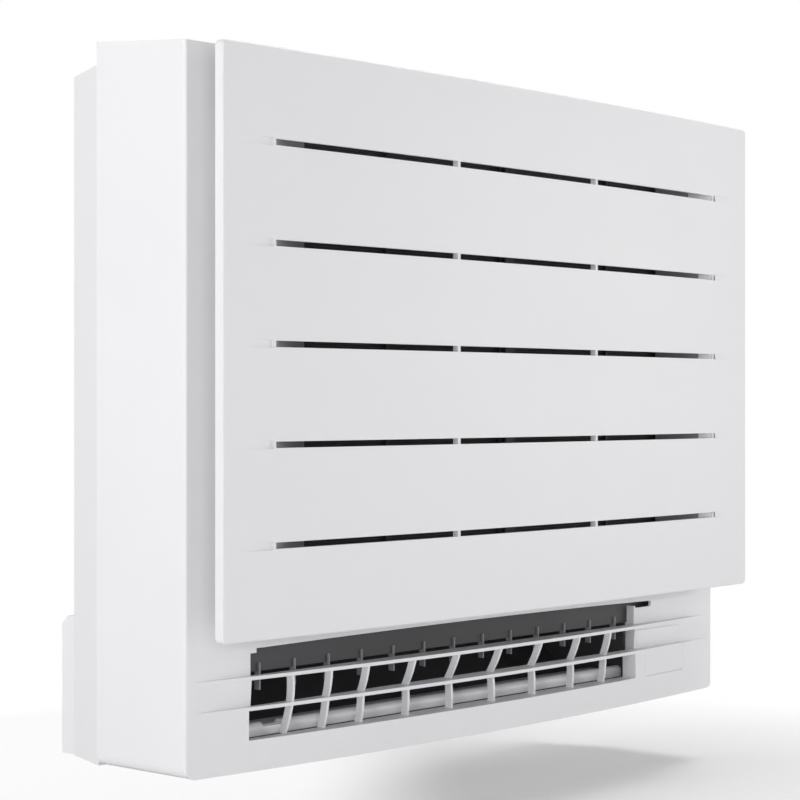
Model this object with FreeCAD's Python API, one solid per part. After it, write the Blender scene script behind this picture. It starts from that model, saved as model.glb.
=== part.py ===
"""Floor console air conditioner: casing, hinged slotted panel, filters, coil, fan wheel and two outlets.

X runs to the right seen from the front, Y runs back from the front and Z runs up.
Depths are taken from the foremost point of the front panel and centred when a piece is saved.
"""
import FreeCAD, Part
import math
import os

V = FreeCAD.Vector

# Envelope
width = 750.0
height = 600.0
depth = 238.0
wall = 2.8
overrun = 2.0
fit_gap = 0.3
run_gap = 0.6

# Front casing
casing_front = 33.4
casing_sag = 21.1
casing_rear_set = 75.0
casing_top_fall = 10.0
casing_edge_round = 3.0
casing_corner_round = 10.0
lintel_lap = 8.0

# Intake window and filter rails
window_side = 69.0
window_base = 138.0
window_drop = 60.0
rail_side = 58.0
rail_wide = 3.0
rail_high = 6.0
rail_lip = 1.6
rail_lip_reach = 5.0
rail_stop_high = 3.0
rail_stile_half = 9.5
filter_base = 129.0
filter_drop = 32.0

# Lower outlet in the casing
open_left_side = 71.0
open_right_side = 142.0
low_left_side = 64.0
low_right_side = 157.0
sill_z = 25.5
open_top = 95.6
band_top = 100.5
recess_plane = 53.5
bar_thick = 3.0
bar_low_z = 49.6
bar_high_z = 74.5
slat_lean = 1.5
slit_inset = 7.0
slit_overshoot = 30.0
slit_base = 93.5
slit_rise = 4.0
slit_screen_run = 20.0
vane_shares = [0.076, 0.156, 0.237, 0.344, 0.452, 0.563, 0.676, 0.790, 0.890]
vane_thick = 2.5
vane_deep = 7.0
vane_top_set_back = 0.6
vane_waist_depth = 45.0
vane_foot_set_back = 9.8
vane_bulge = 0.8

# Receiver cover beside the lower outlet
cover_stand = 4.0
cover_side = 63.0
cover_top = 71.0
board_thick = 1.6
display_board_inset = 16.0
post_wide = 6.0
display_stand_off = 5.0

# Rear housing, foot and base
housing_set = 19.0
housing_inset = 2.0
housing_taper = 20.0
housing_drop = 18.0
housing_roof_fall = 4.0
tongue_long = 8.0
foot_inset = 24.5
foot_high = 118.0
foot_chamfer = 7.0
base_thick = 3.0
pipe_port_side = 39.0
pipe_port_wide = 74.0
pipe_port_base = 34.0
pipe_port_top = 106.0
foot_screw_side = 165.0
foot_screw_z = 60.0
foot_screw_radius = 3.0

# Front panel
panel_sag = 11.6
panel_base = 112.0
panel_drop = 14.0
panel_edge = 8.0
panel_skin = 3.0
panel_rim = 5.0
panel_corner_round = 5.0
panel_edge_bevel = 1.2
slot_count = 5
slot_high = 5.2
slot_left_side = 54.0
slot_right_side = 66.3
slot_end_wall = 2.0
slot_gap_long = 6.0
slot_first_rise = 72.0
slot_last_drop = 79.0
runout_long = 40.0
runout_deep = 2.2
runout_high = 6.4
rib_share = 0.313
rib_thick = 3.2
rib_deep = 6.0
rib_set_back = 0.8
frame_wall_out = 2.0
frame_wall_thick = 3.5
frame_wall_back = 46.0
frame_wall_margin = 16.0
ramp_long = 60.0
ramp_deep = 25.0
ramp_thick = 2.4
ramp_step = 9.0

# Panel hinge and catches
pivot_depth = 43.0
pivot_z = 122.0
pin_radius = 2.0
knuckle_radius = 4.6
arm_side = 45.0
arm_wide = 8.0
lug_wide = 4.0
catch_side = 41.5
catch_wide = 11.0
catch_high = 10.0
catch_drop = 44.0
catch_face_depth = 30.0

# Filters
filter_thick = 3.2
mesh_thick = 0.6
filter_border = 9.0
filter_rows = 3
filter_bar = 3.0
filter_tab_wide = 60.0
filter_tab_high = 10.0

# Button
button_side = 23.0
button_drop = 64.0
button_radius = 6.0
button_proud = 2.4
button_flange = 2.0
button_flange_thick = 1.6

# Coil
coil_left_side = 55.0
coil_right_side = 153.0
coil_front = 62.0
coil_rear = 98.0
coil_base = 130.0
coil_drop = 67.0
coil_tube_count = 10
coil_tube_radius = 4.4
coil_tube_margin = 16.0
coil_plate_thick = 1.5
coil_bend_reach = 6.0

# Drain pan and socket
pan_left_side = 30.0
pan_right_side = 123.0
pan_front = 59.0
pan_rear = 103.0
pan_base = 108.0
pan_top = 128.0
pan_wall = 2.5
drain_inset = 8.0
drain_back_gap = 10.0
drain_radius = 7.0
drain_wall = 1.5
drain_end_z = 84.0
drain_port_radius = 14.0

# Bell mouth, fan wheel and motor
fan_share = 0.81
eye_share = 0.7625
hub_share = 0.36
motor_share = 0.3
blade_inner_share = 0.56
bell_plate_thick = 3.0
bell_lip = 6.0
bell_drop = 64.0
wheel_gap = 6.0
wheel_back_share = 0.735
hub_plate_share = 0.4
wheel_sheet = 3.0
hub_boss_radius = 16.0
hub_boss_long = 12.0
hub_cone_run = 18.0
shroud_drop = 8.0
wheel_sides = 30
blade_count = 7
blade_thick = 2.6
blade_chords = 4
blade_sweep = 36.0
shaft_radius = 5.0
shaft_tip_long = 10.0
shaft_root_long = 8.0
nut_flats = 17.0
nut_thick = 7.0
motor_gap = 5.0
motor_stand = 8.2
mount_plate_rim = 6.0
mount_plate_thick = 3.0
mount_leg_wide = 12.0

# Scroll guides
guide_thick = 3.0
guide_drop = 62.0
guide_gap = 31.0

# Lower duct, fins and lower flap
duct_wall = 2.5
duct_front = 64.0
duct_back_gap = 6.2
duct_floor_low = 18.5
duct_floor_rise = 85.5
duct_depth_shares = [0.0, 0.3, 0.75, 1.0]
duct_rise_shares = [0.0, 0.02, 0.37, 1.0]
lip_front = 62.0
lip_base = 79.0
fin_count = 13
fin_thick = 1.4
fin_proud = 2.0
fin_base = 63.5
fin_tooth_high = 7.0
lip_bead_base = 99.8
lip_bead_high = 1.5
fin_rail_high = 6.0
fin_rail_thick = 1.5
flap_depth = 72.0
flap_z = 29.5
flap_nose = 5.4
flap_tail = 33.0
flap_thick = 3.0
flap_tail_drop = 1.0
flap_notch_near = 31.0
flap_notch_wide = 23.0
flap_pin_radius = 2.5
flap_motor_half = 8.0
flap_motor_long = 18.0

# Upper duct, louvres and upper flap
top_left_side = 85.0
top_right_side = 125.0
top_front_set = 23.5
top_rear_set = 8.0
top_flap_gap = 1.0
top_flap_thick = 3.0
top_flap_roll = 5.0
top_pin_radius = 1.6
upper_wall = 2.5
upper_drop = 60.0
bank_count = 2
blades_per_bank = 4
louvre_thick = 2.0
louvre_base_drop = 52.0
louvre_top_drop = 19.0
louvre_pivot_drop = 26.0
louvre_pin_radius = 1.6
louvre_pin_flat = 1.2
louvre_end_gap = 1.2
tie_bar_drop = 58.5
tie_bar_high = 3.0
tie_bar_deep = 6.0
tie_prong_high = 11.0
tie_prong_thick = 2.0
tie_prong_gap = 1.6
tie_rest_wide = 8.0
gear_case_long = 7.0
gear_case_deep = 20.0
gear_case_drop = 40.0
top_motor_drop = 27.0
top_motor_half = 9.0
top_motor_long = 16.0

# Control box
control_side = 31.0
control_wide = 70.0
control_front = 72.0
control_base = 205.0
control_drop = 100.0
control_sheet = 1.2
control_lip = 6.0
circuit_stand_off = 8.0
circuit_margin = 6.0
circuit_part_high = 14.0
terminal_high = 40.0
terminal_deep = 20.0
terminal_count = 4
terminal_slot_wide = 6.0

# Refrigerant pipes
gas_radius = 4.76
liquid_radius = 3.18
pipe_bend = 16.0
gas_inset = 22.0
gas_end_z = 60.0
liquid_inset = 56.0
liquid_drop_gap = 12.0
liquid_turn_gap = 23.0
liquid_end_z = 82.0
pipe_end_set = 8.0
pipe_end_long = 24.0
tube_sides = 8
bend_steps = 2
nut_long = 14.0
gas_nut_flats = 22.0
liquid_nut_flats = 17.0

# Wall mounting plate
plate_side = 75.0
plate_base = 150.0
plate_drop = 60.0
plate_thick = 2.0
plate_stile_wide = 90.0
plate_border = 46.0
plate_foot_wide = 40.0
plate_foot_high = 24.0
bolt_side_inset = 40.0
bolt_end_inset = 25.0
bolt_radius = 3.5

# Widths taken from the sides of the casing
half_width = width / 2
window_half = half_width - window_side
rail_half = half_width - rail_side
open_left = open_left_side - half_width
open_right = half_width - open_right_side
low_left = low_left_side - half_width
low_right = half_width - low_right_side
slit_left = open_left + slit_inset
slit_right = open_right + slit_overshoot
vane_stations = [open_left + share * (open_right - open_left) for share in vane_shares]
cover_left = open_right + cover_stand
cover_right = half_width - cover_side
housing_half = half_width - housing_inset
housing_back_half = housing_half - housing_taper
foot_half = half_width - foot_inset
pipe_port_right = half_width - pipe_port_side
pipe_port_left = pipe_port_right - pipe_port_wide
foot_screw_spread = width - 2 * foot_screw_side
slot_left = half_width - slot_left_side
slot_right = half_width - slot_right_side
rib_station = rib_share * slot_left
frame_wall_half = slot_left + frame_wall_out
arm_inner = half_width - arm_side
catch_station = half_width - catch_side
button_x = half_width - button_side
coil_left = coil_left_side - half_width
coil_right = half_width - coil_right_side
pan_left = pan_left_side - half_width
pan_right = half_width - pan_right_side
drain_x = pan_right - drain_inset
bell_left = open_left
bell_right = open_right
duct_left = low_left + fit_gap
duct_right = open_right - fit_gap
top_left = top_left_side - half_width
top_right = half_width - top_right_side
control_right = half_width - control_side
control_left = control_right - control_wide
gas_x = pipe_port_left + gas_inset
liquid_x = pipe_port_left + liquid_inset
liquid_drop_x = control_left - liquid_drop_gap
plate_half = half_width - plate_side
plate_window_half = plate_half - plate_stile_wide
bolt_spread_x = 2 * (plate_half - bolt_side_inset)

# Heights taken from the top of the casing
window_top = height - window_drop
filter_top = height - filter_drop
housing_top = height - housing_drop
panel_top = height - panel_drop
slot_first_z = panel_base + slot_first_rise
slot_pitch = (panel_top - slot_last_drop - slot_first_z) / (slot_count - 1)
catch_z = height - catch_drop
button_z = height - button_drop
coil_top = height - coil_drop
bell_top = height - bell_drop
guide_base = pan_base
guide_top = height - guide_drop
upper_base = height - upper_drop
louvre_base = height - louvre_base_drop
louvre_top = height - louvre_top_drop
louvre_pivot_z = height - louvre_pivot_drop
tie_bar_base = height - tie_bar_drop
gear_case_base = height - gear_case_drop
top_motor_z = height - top_motor_drop
control_top = height - control_drop
liquid_turn_z = control_base - liquid_turn_gap
plate_top = height - plate_drop
bolt_spread_z = plate_top - plate_base - 2 * bolt_end_inset

# Depths taken from the front and the back
half_depth = depth / 2
drain_depth = pan_rear - drain_back_gap
casing_edge = casing_front + casing_sag
casing_rear = depth - casing_rear_set
top_slope = casing_top_fall / (casing_rear - casing_edge)
housing_rear = depth - housing_set
rear_inside = housing_rear - wall
rail_face = casing_front - rail_high
bell_front = pan_rear
bell_back = bell_front + bell_plate_thick
chamber_deep = rear_inside - bell_back
wheel_front = bell_back + wheel_gap
wheel_back = bell_back + wheel_back_share * chamber_deep
hub_plate_depth = bell_back + hub_plate_share * chamber_deep
hub_boss_front = hub_plate_depth - hub_boss_long
shaft_front = hub_boss_front - shaft_tip_long
motor_front = hub_plate_depth + wheel_sheet + motor_gap
motor_rear = rear_inside - motor_stand
shaft_rear = motor_front + shaft_root_long
duct_near = duct_front + duct_wall
duct_far = rear_inside - duct_back_gap
top_front = casing_edge + top_front_set
top_rear = casing_rear - top_rear_set
pipe_end_depth = depth - pipe_end_set

# Fan sizes taken from the space between the pan and the top of the bell mouth
fan_x = (bell_left + bell_right) / 2
fan_z = (pan_top + bell_top) / 2
fan_radius = fan_share * (bell_top - pan_top) / 2
eye_radius = eye_share * fan_radius
hub_radius = hub_share * fan_radius
motor_radius = motor_share * fan_radius
blade_inner_radius = blade_inner_share * fan_radius
mount_plate_half = motor_radius + mount_plate_rim
guide_waist_left = fan_x - fan_radius - guide_gap
guide_waist_right = fan_x + fan_radius + guide_gap


def save(shape, name):
    """Centre one piece in depth and write it out."""
    placed = shape.removeSplitter()
    placed.translate(V(0, -half_depth, 0))
    placed.exportStep("parts/" + name + ".step")


def box(x0, x1, d0, d1, z0, z1):
    """Block between two corners given by width, depth and height."""
    return Part.makeBox(x1 - x0, d1 - d0, z1 - z0, V(x0, d0, z0))


def rod(radius, start, end):
    """Round bar from one point to another."""
    axis = end - start
    return Part.makeCylinder(radius, axis.Length, start, axis)


def fuse(shapes):
    """Join a list of solids into one."""
    return shapes[0].multiFuse(shapes[1:]) if len(shapes) > 1 else shapes[0]


def along_x(points, x0, x1):
    """Prism along the width from a closed outline of depth and height pairs."""
    corners = [V(x0, d, z) for d, z in points]
    return Part.Face(Part.makePolygon(corners + corners[:1])).extrude(V(x1 - x0, 0, 0))


def along_z(points, z0, z1):
    """Upright prism from a closed outline of width and depth pairs."""
    corners = [V(x, d, z0) for x, d in points]
    return Part.Face(Part.makePolygon(corners + corners[:1])).extrude(V(0, 0, z1 - z0))


def hexagon(flats, length, start, axis):
    """Hexagonal nut blank standing on a point, its faces along the given axis."""
    reach = flats / math.sqrt(3)
    corners = [V(reach * math.cos(k * math.pi / 3), reach * math.sin(k * math.pi / 3), 0) for k in range(7)]
    blank = Part.Face(Part.makePolygon(corners)).extrude(V(0, 0, length))
    blank.Placement = FreeCAD.Placement(start, FreeCAD.Rotation(V(0, 0, 1), axis))
    return blank


def octagon(radius):
    """Corners of a tube section about the origin."""
    turns = [(k + 1 / 2) * 2 * math.pi / tube_sides for k in range(tube_sides)]
    return [(radius * math.cos(turn), radius * math.sin(turn)) for turn in turns]


def bow(x, sag):
    """Depth by which a front that bows over the full width falls back at a station."""
    radius = (half_width ** 2 + sag ** 2) / (2 * sag)
    return radius - math.sqrt(radius ** 2 - x ** 2)


def bowed_edge(sag, x0, x1, near, z):
    """Arc along the bowed front between two stations."""
    middle = (x0 + x1) / 2
    spots = [V(x, near + bow(x, sag), z) for x in (x0, middle, x1)]
    return Part.Arc(*spots).toShape(), spots[0], spots[2]


def bowed(sag, x0, x1, near, far, z0, z1):
    """Curved slab between two bowed surfaces."""
    front, a0, a1 = bowed_edge(sag, x0, x1, near, z0)
    back, b0, b1 = bowed_edge(sag, x0, x1, far, z0)
    outline = Part.Wire([front, Part.makeLine(a1, b1), back, Part.makeLine(b0, a0)])
    return Part.Face(outline).extrude(V(0, 0, z1 - z0))


def bow_to_plane(sag, x0, x1, near, plane, z0, z1):
    """Block with a bowed front and a flat back."""
    front, a0, a1 = bowed_edge(sag, x0, x1, near, z0)
    corners = [a1, V(x1, plane, z0), V(x0, plane, z0), a0]
    outline = Part.Wire([front] + Part.makePolygon(corners).Edges)
    return Part.Face(Part.Wire(Part.__sortEdges__(outline.Edges))).extrude(V(0, 0, z1 - z0))


def top_z(d):
    """Height of the sloping casing top at a depth."""
    return height - top_slope * (casing_rear - d)


def above_top(inset, x0, x1):
    """Everything above the casing top lowered by an inset."""
    near = -overrun
    far = depth
    lid = height + casing_top_fall + overrun
    return along_x([(near, top_z(near) - inset), (far, top_z(far) - inset), (far, lid), (near, lid)], x0, x1)


def casing_front_view():
    """Front view of the casing with rounded lower corners, as deep as the casing."""
    r = casing_corner_round
    inner = half_width - r
    bend = r - r / math.sqrt(2)
    left = Part.Arc(V(-half_width, 0, r), V(bend - half_width, 0, bend), V(-inner, 0, 0)).toShape()
    right = Part.Arc(V(inner, 0, 0), V(half_width - bend, 0, bend), V(half_width, 0, r)).toShape()
    base = Part.makeLine(V(-inner, 0, 0), V(inner, 0, 0))
    rest = [V(half_width, 0, r), V(half_width, 0, height), V(-half_width, 0, height), V(-half_width, 0, r)]
    outline = Part.Wire([left, base, right] + Part.makePolygon(rest).Edges)
    return Part.Face(outline).extrude(V(0, casing_rear, 0))


def casing_solid():
    """Outer form of the front casing with its rounded corners and edges."""
    block = bow_to_plane(casing_sag, -half_width, half_width, casing_front, casing_rear, 0, height)
    upright = [e for e in block.Edges if upright_edge(e)]
    block = block.makeFillet(casing_edge_round, upright)
    return block.common(casing_front_view()).cut(above_top(0, -width, width))


def upright_edge(edge):
    """True for the upright edge at either side of the bowed front."""
    size = edge.BoundBox
    return size.ZLength > height / 2 and size.YMax < casing_edge + fit_gap


def casing_shell():
    """Thin-walled casing, thickened behind the stepped lower front."""
    solid = casing_solid()
    inner_half = half_width - wall
    hollow = bow_to_plane(casing_sag, -inner_half, inner_half, casing_front + wall, casing_rear, 0, height)
    hollow = hollow.fuse(box(-inner_half, inner_half, casing_edge, casing_rear + overrun, -overrun, height))
    near = casing_front + wall
    low_front = bow_to_plane(casing_sag, -inner_half, inner_half, near, casing_rear, -overrun, 0)
    hollow = hollow.fuse(low_front).cut(above_top(wall, -width, width))
    stepped = box(-half_width, half_width, 0, recess_plane + wall, sill_z - wall, band_top + wall)
    lintel = box(-half_width, half_width, casing_rear - wall, casing_rear, housing_top - lintel_lap, height)
    shell = solid.cut(hollow)
    return shell.fuse(solid.common(stepped)).fuse(solid.common(lintel))


def outlet_steps():
    """Stepped recesses that fade out to both sides of the lower outlet."""
    upper = box(-width, width, 0, recess_plane, bar_high_z + bar_thick, band_top)
    ledge = bar_low_z + bar_thick
    eave = bar_high_z
    outline = [(0, ledge), (recess_plane, ledge), (recess_plane - slat_lean, eave), (0, eave)]
    return upper.fuse(along_x(outline, -width, width))


def outlet_opening():
    """Stepped hole of the lower outlet with the slit above it, which runs on to the right."""
    far = recess_plane + wall + overrun
    low = box(low_left, low_right, 0, far, sill_z, bar_low_z)
    hole = box(open_left, open_right, 0, far, bar_low_z, open_top)
    half_high = (band_top - slit_base) / 2
    end = V(slit_right - half_high, 0, slit_base + half_high)
    return fuse([low, hole, arched_slit(end.x, far), rod(half_high, end, end + V(0, far, 0))])


def arched_slit(right, far):
    """Long slit over the lower outlet whose upper edge rises in the middle."""
    rows = ((slit_left, band_top), (slit_left, slit_base), (right, slit_base), (right, band_top))
    corners = [V(x, 0, z) for x, z in rows]
    crown = V((slit_left + right) / 2, 0, band_top + slit_rise)
    edges = [Part.makeLine(a, b) for a, b in zip(corners, corners[1:])]
    edges.append(Part.Arc(corners[0], crown, corners[-1]).toShape())
    return Part.Face(Part.Wire(edges)).extrude(V(0, far, 0))


def outlet_return():
    """White flange that lines the right end of the lower outlet."""
    return box(open_right, open_right + wall, recess_plane, duct_front - fit_gap, bar_low_z, open_top)


def cover_block(gap):
    """Block that parts the receiver cover from the casing."""
    far = recess_plane + wall + overrun
    return box(cover_left - gap, cover_right + gap, 0, far, sill_z - gap, cover_top + gap)


def intake_frame():
    """Side rails, middle rail, window stile and stop that guide the filters on the casing face."""
    pieces = []
    for side in (-1, 1):
        x0, x1 = sorted((side * rail_half, side * (rail_half + rail_wide)))
        pieces.append(bowed(casing_sag, x0, x1, rail_face, casing_front, filter_base, filter_top))
        x0, x1 = sorted((side * (rail_half - rail_lip_reach), side * (rail_half + rail_wide)))
        pieces.append(bowed(casing_sag, x0, x1, rail_face - rail_lip, rail_face, filter_base, filter_top))
    half = rail_wide / 2
    pieces.append(bowed(casing_sag, -half, half, rail_face, casing_front, filter_base, filter_top))
    half = half + rail_lip_reach
    pieces.append(bowed(casing_sag, -half, half, rail_face - rail_lip, rail_face, filter_base, filter_top))
    half = rail_half + rail_wide
    low = filter_base - rail_stop_high
    pieces.append(bowed(casing_sag, -half, half, rail_face - rail_lip, casing_front, low, filter_base))
    half = rail_stile_half
    pieces.append(bowed(casing_sag, -half, half, casing_front, casing_front + wall, window_base, window_top))
    return fuse(pieces)


def lug(x0, x1):
    """One hinge lug standing out of the casing face, open for the pin."""
    reach = knuckle_radius + run_gap
    face = casing_front + bow(max(abs(x0), abs(x1)), casing_sag) + wall / 2
    block = box(x0, x1, pivot_depth - reach, face, pivot_z - reach, pivot_z + reach)
    bore = octagon((pin_radius + fit_gap) / math.cos(math.pi / tube_sides))
    return block.cut(along_x([(pivot_depth + a, pivot_z + b) for a, b in bore], x0 - overrun, x1 + overrun))


def hinge_lugs():
    """Pairs of lugs that carry the panel at both sides."""
    pieces = []
    for side in (-1, 1):
        for start in (arm_inner - run_gap - lug_wide, arm_inner + arm_wide + run_gap):
            x0, x1 = sorted((side * start, side * (start + lug_wide)))
            pieces.append(lug(x0, x1))
    return fuse(pieces)


def front_casing():
    """Front casing with intake window, upper outlet, stepped lower front and hinge lugs."""
    shell = casing_shell().cut(outlet_steps()).cut(outlet_opening()).cut(cover_block(fit_gap))
    far = casing_edge + wall + overrun
    shell = shell.cut(box(-window_half, window_half, 0, far, window_base, window_top))
    shell = shell.cut(box(top_left, top_right, top_front, top_rear, height / 2, height + overrun))
    shell = shell.fuse(hinge_lugs()).fuse(outlet_return())
    hole = rod(button_radius + run_gap, V(button_x, 0, button_z), V(button_x, far, button_z))
    return shell.cut(hole)


def receiver_cover():
    """Flush cover over the receiver, following the stepped face."""
    return casing_shell().cut(outlet_steps()).common(cover_block(0))


def display_board():
    """Small board with posts behind the receiver cover."""
    face = recess_plane + wall
    left = cover_left + display_board_inset
    right = cover_right - display_board_inset
    low = sill_z + display_board_inset
    high = cover_top - display_board_inset
    near = face + display_stand_off
    pieces = [box(left, right, near, near + board_thick, low, high)]
    for x in (left, right - post_wide):
        pieces.append(box(x, x + post_wide, face, near, low, high))
    return fuse(pieces)


def vane(station):
    """One upright grille vane whose front edge runs back to a waist and on to its foot in two curves."""
    face = casing_front + bow(station, casing_sag)
    x0 = station - vane_thick / 2
    top = V(x0, face + vane_top_set_back, bar_high_z)
    waist = V(x0, vane_waist_depth, bar_low_z + bar_thick)
    foot = V(x0, face + vane_foot_set_back, sill_z)
    edges = []
    for shift in (V(0, 0, 0), V(0, vane_deep, 0)):
        for start, end in ((top, waist), (waist, foot)):
            middle = (start + end) / 2 - V(0, vane_bulge, 0)
            edges.append(Part.Arc(start + shift, middle + shift, end + shift).toShape())
    for end in (top, foot):
        edges.append(Part.makeLine(end, end + V(0, vane_deep, 0)))
    outline = Part.Wire(Part.__sortEdges__(edges))
    return Part.Face(outline).extrude(V(vane_thick, 0, 0))


def outlet_grille():
    """Two bowed bars joined by upright vanes, seated between the ends of the lower outlet."""
    pieces = []
    for z in (bar_low_z, bar_high_z):
        high = z + bar_thick
        pieces.append(bow_to_plane(casing_sag, open_left, open_right, casing_front, recess_plane, z, high))
    for station in vane_stations:
        pieces.append(vane(station))
    return fuse(pieces)


def housing_outline(inset):
    """Plan outline of the tapering upper housing."""
    front = housing_half - inset
    back = housing_back_half - inset
    rear = housing_rear - inset
    return [(-front, casing_rear), (-back, rear), (back, rear), (front, casing_rear)]


def housing_roof(inset):
    """Everything above the falling roof of the housing."""
    high = housing_top - inset
    low = high - housing_roof_fall
    return along_x([(casing_rear, high), (depth, low), (depth, height), (casing_rear, height)], -width, width)


def housing_shell():
    """Upper tray of the housing, open to the front."""
    outer = along_z(housing_outline(0), 0, height).cut(housing_roof(0))
    inner = along_z(housing_outline(wall), base_thick, height).cut(housing_roof(wall))
    return outer.cut(inner)


def housing_foot():
    """Hollow foot that carries the housing back to the wall."""
    low = foot_high - foot_chamfer
    near = rear_inside
    outline = [(near, 0), (depth, 0), (depth, low), (depth - foot_chamfer, foot_high), (near, foot_high)]
    return along_x(outline, -foot_half, foot_half)


def foot_hollow():
    """Space inside the foot."""
    half = foot_half - wall
    low = foot_high - foot_chamfer - wall
    far = depth - wall
    near = rear_inside - overrun
    points = [(near, base_thick), (far, base_thick), (far, low), (far - foot_chamfer, low + foot_chamfer)]
    return along_x(points + [(near, low + foot_chamfer)], -half, half)


def housing_tongue():
    """Lip that slides inside the rear of the casing."""
    half = half_width - wall - fit_gap
    inner = half - wall
    top = housing_top - lintel_lap - fit_gap
    near = casing_rear - tongue_long
    far = casing_rear + wall
    ring = box(-half, half, near, far, 0, top)
    return ring.cut(box(-inner, inner, near - overrun, far + overrun, -overrun, top + overrun))


def rear_housing():
    """Rear housing with base plate, tongue, foot and openings for pipes, drain and screws."""
    half = half_width - wall - fit_gap
    base = bow_to_plane(casing_sag, -half, half, casing_front + wall + fit_gap, casing_rear, 0, base_thick)
    base = base.cut(corner_relief())
    tongue = housing_tongue().common(along_z(housing_outline(0), 0, height).fuse(
        box(-half, half, casing_edge, casing_rear, casing_corner_round, height)))
    body = fuse([housing_shell(), base, housing_foot(), tongue]).cut(foot_hollow())
    port = box(pipe_port_left, pipe_port_right, rear_inside, depth + overrun, pipe_port_base, pipe_port_top)
    under = V(drain_x, drain_depth, -overrun)
    drain = rod(drain_port_radius, under, V(drain_x, drain_depth, base_thick + overrun))
    body = body.cut(port).cut(drain)
    for x in (-foot_screw_spread / 2, foot_screw_spread / 2):
        start = V(x, rear_inside, foot_screw_z)
        body = body.cut(rod(foot_screw_radius, start, V(x, depth + overrun, foot_screw_z)))
    return body


def corner_relief():
    """Room beside the base plate for the rounded lower corners of the casing."""
    inner = half_width - casing_corner_round
    left = box(-width, -inner, 0, casing_rear, -overrun, base_thick + overrun)
    right = box(inner, width, 0, casing_rear, -overrun, base_thick + overrun)
    return left.fuse(right)


def panel_blank():
    """Bowed panel blank with rounded corners and a bevelled front edge."""
    blank = bowed(panel_sag, -half_width, half_width, 0, panel_edge, panel_base, panel_top)
    corners = [e for e in blank.Edges if abs(e.BoundBox.XMin) > half_width - fit_gap
               and e.BoundBox.XLength < fit_gap and e.BoundBox.ZLength < fit_gap]
    blank = blank.makeFillet(panel_corner_round, corners)
    skins = sorted(blank.Faces, key=lambda face: face.Area)[-2:]
    front = min(skins, key=lambda face: face.CenterOfMass.y)
    return blank.makeChamfer(panel_edge_bevel, front.Edges)


def slot_zs():
    """Undersides of the panel slots."""
    return [slot_first_z + k * slot_pitch for k in range(slot_count)]


def slot_reach(side):
    """Distance from the middle of the panel to the grooves beyond the slots of one side."""
    return slot_left if side < 0 else slot_right


def runout(side, z):
    """Groove beyond the end wall of a slot, which fades out towards the side."""
    reach = slot_reach(side)
    x0 = side * reach
    x1 = side * (reach + runout_long)
    deep = bow(reach, panel_sag) + runout_deep
    shallow = bow(reach + runout_long, panel_sag)
    low = z - (runout_high - slot_high) / 2
    return along_z([(x0, -overrun), (x0, deep), (x1, shallow), (x1, -overrun)], low, low + runout_high)


def panel_slots():
    """All slots with the short gaps at their right ends and their fading grooves."""
    pieces = []
    for z in slot_zs():
        runs = [(slot_end_wall - slot_left, slot_right - slot_end_wall)]
        runs.append((slot_right, slot_right + slot_gap_long))
        for left, right in runs:
            pieces.append(box(left, right, -overrun, panel_edge + panel_sag, z, z + slot_high))
        for side in (-1, 1):
            pieces.append(runout(side, z))
    return fuse(pieces)


def panel_ribs():
    """Upright ribs that bridge the slots, and the frame walls at both sides."""
    low = panel_base + panel_rim
    high = panel_top - panel_rim
    pieces = []
    for side in (-1, 1):
        x0, x1 = side * rib_station - rib_thick / 2, side * rib_station + rib_thick / 2
        near = bow(rib_station, panel_sag) + rib_set_back
        pieces.append(box(x0, x1, near, near + rib_deep, low, high))
        x0, x1 = sorted((side * frame_wall_half, side * (frame_wall_half + frame_wall_thick)))
        near = bow(frame_wall_half, panel_sag) + runout_deep
        pieces.append(box(x0, x1, near, frame_wall_back, low + frame_wall_margin, high - frame_wall_margin))
        pieces.append(slot_ramp(side, low + frame_wall_margin, high - frame_wall_margin))
    return pieces


def slot_ramp(side, low, high):
    """Slanted wall that leads the air inwards from the slot ends of one side, stepped back at its root."""
    reach = slot_reach(side)
    near = bow(reach, panel_sag) + runout_deep
    start = side * (reach - slot_end_wall)
    tip = side * (reach - ramp_long)
    back = near + ramp_deep + ramp_thick
    root = side * (frame_wall_half + frame_wall_thick / 2)
    step = near + ramp_step
    outline = [(start, near), (tip, near + ramp_deep), (tip, back), (root, step + ramp_thick), (root, step)]
    return along_z(outline + [(start, step)], low, high)


def panel_arms():
    """Arms that reach back to the hinge, with holes for the pins, and the catch strikers."""
    pieces = []
    for side in (-1, 1):
        x0, x1 = sorted((side * arm_inner, side * (arm_inner + arm_wide)))
        near = bow(arm_inner, panel_sag) + panel_skin / 2
        arm = box(x0, x1, near, pivot_depth, pivot_z - knuckle_radius, pivot_z + knuckle_radius)
        arm = arm.fuse(rod(knuckle_radius, V(x0, pivot_depth, pivot_z), V(x1, pivot_depth, pivot_z)))
        bore = octagon((pin_radius + fit_gap / 2) / math.cos(math.pi / tube_sides))
        outline = [(pivot_depth + a, pivot_z + b) for a, b in bore]
        pieces.append(arm.cut(along_x(outline, x0 - overrun, x1 + overrun)))
        x0 = side * catch_station - catch_wide / 2
        near = bow(catch_station, panel_sag) + panel_skin / 2
        far = catch_face_depth - fit_gap
        pieces.append(box(x0, x0 + catch_wide, near, far, catch_z, catch_z + catch_high))
    return pieces


def pin(side):
    """Hinge pin of one side."""
    reach = lug_wide + run_gap
    start = V(side * (arm_inner - reach), pivot_depth, pivot_z)
    end = V(side * (arm_inner + arm_wide + reach), pivot_depth, pivot_z)
    return rod(pin_radius, start, end)


def front_panel():
    """Bowed front panel with slots, ribs, frame walls and hinge arms."""
    pocket = bowed(panel_sag, panel_rim - half_width, half_width - panel_rim, panel_skin, panel_edge + overrun,
                   panel_base + panel_rim, panel_top - panel_rim)
    shell = panel_blank().cut(pocket).cut(panel_slots())
    return fuse([shell] + panel_ribs() + panel_arms())


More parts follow.
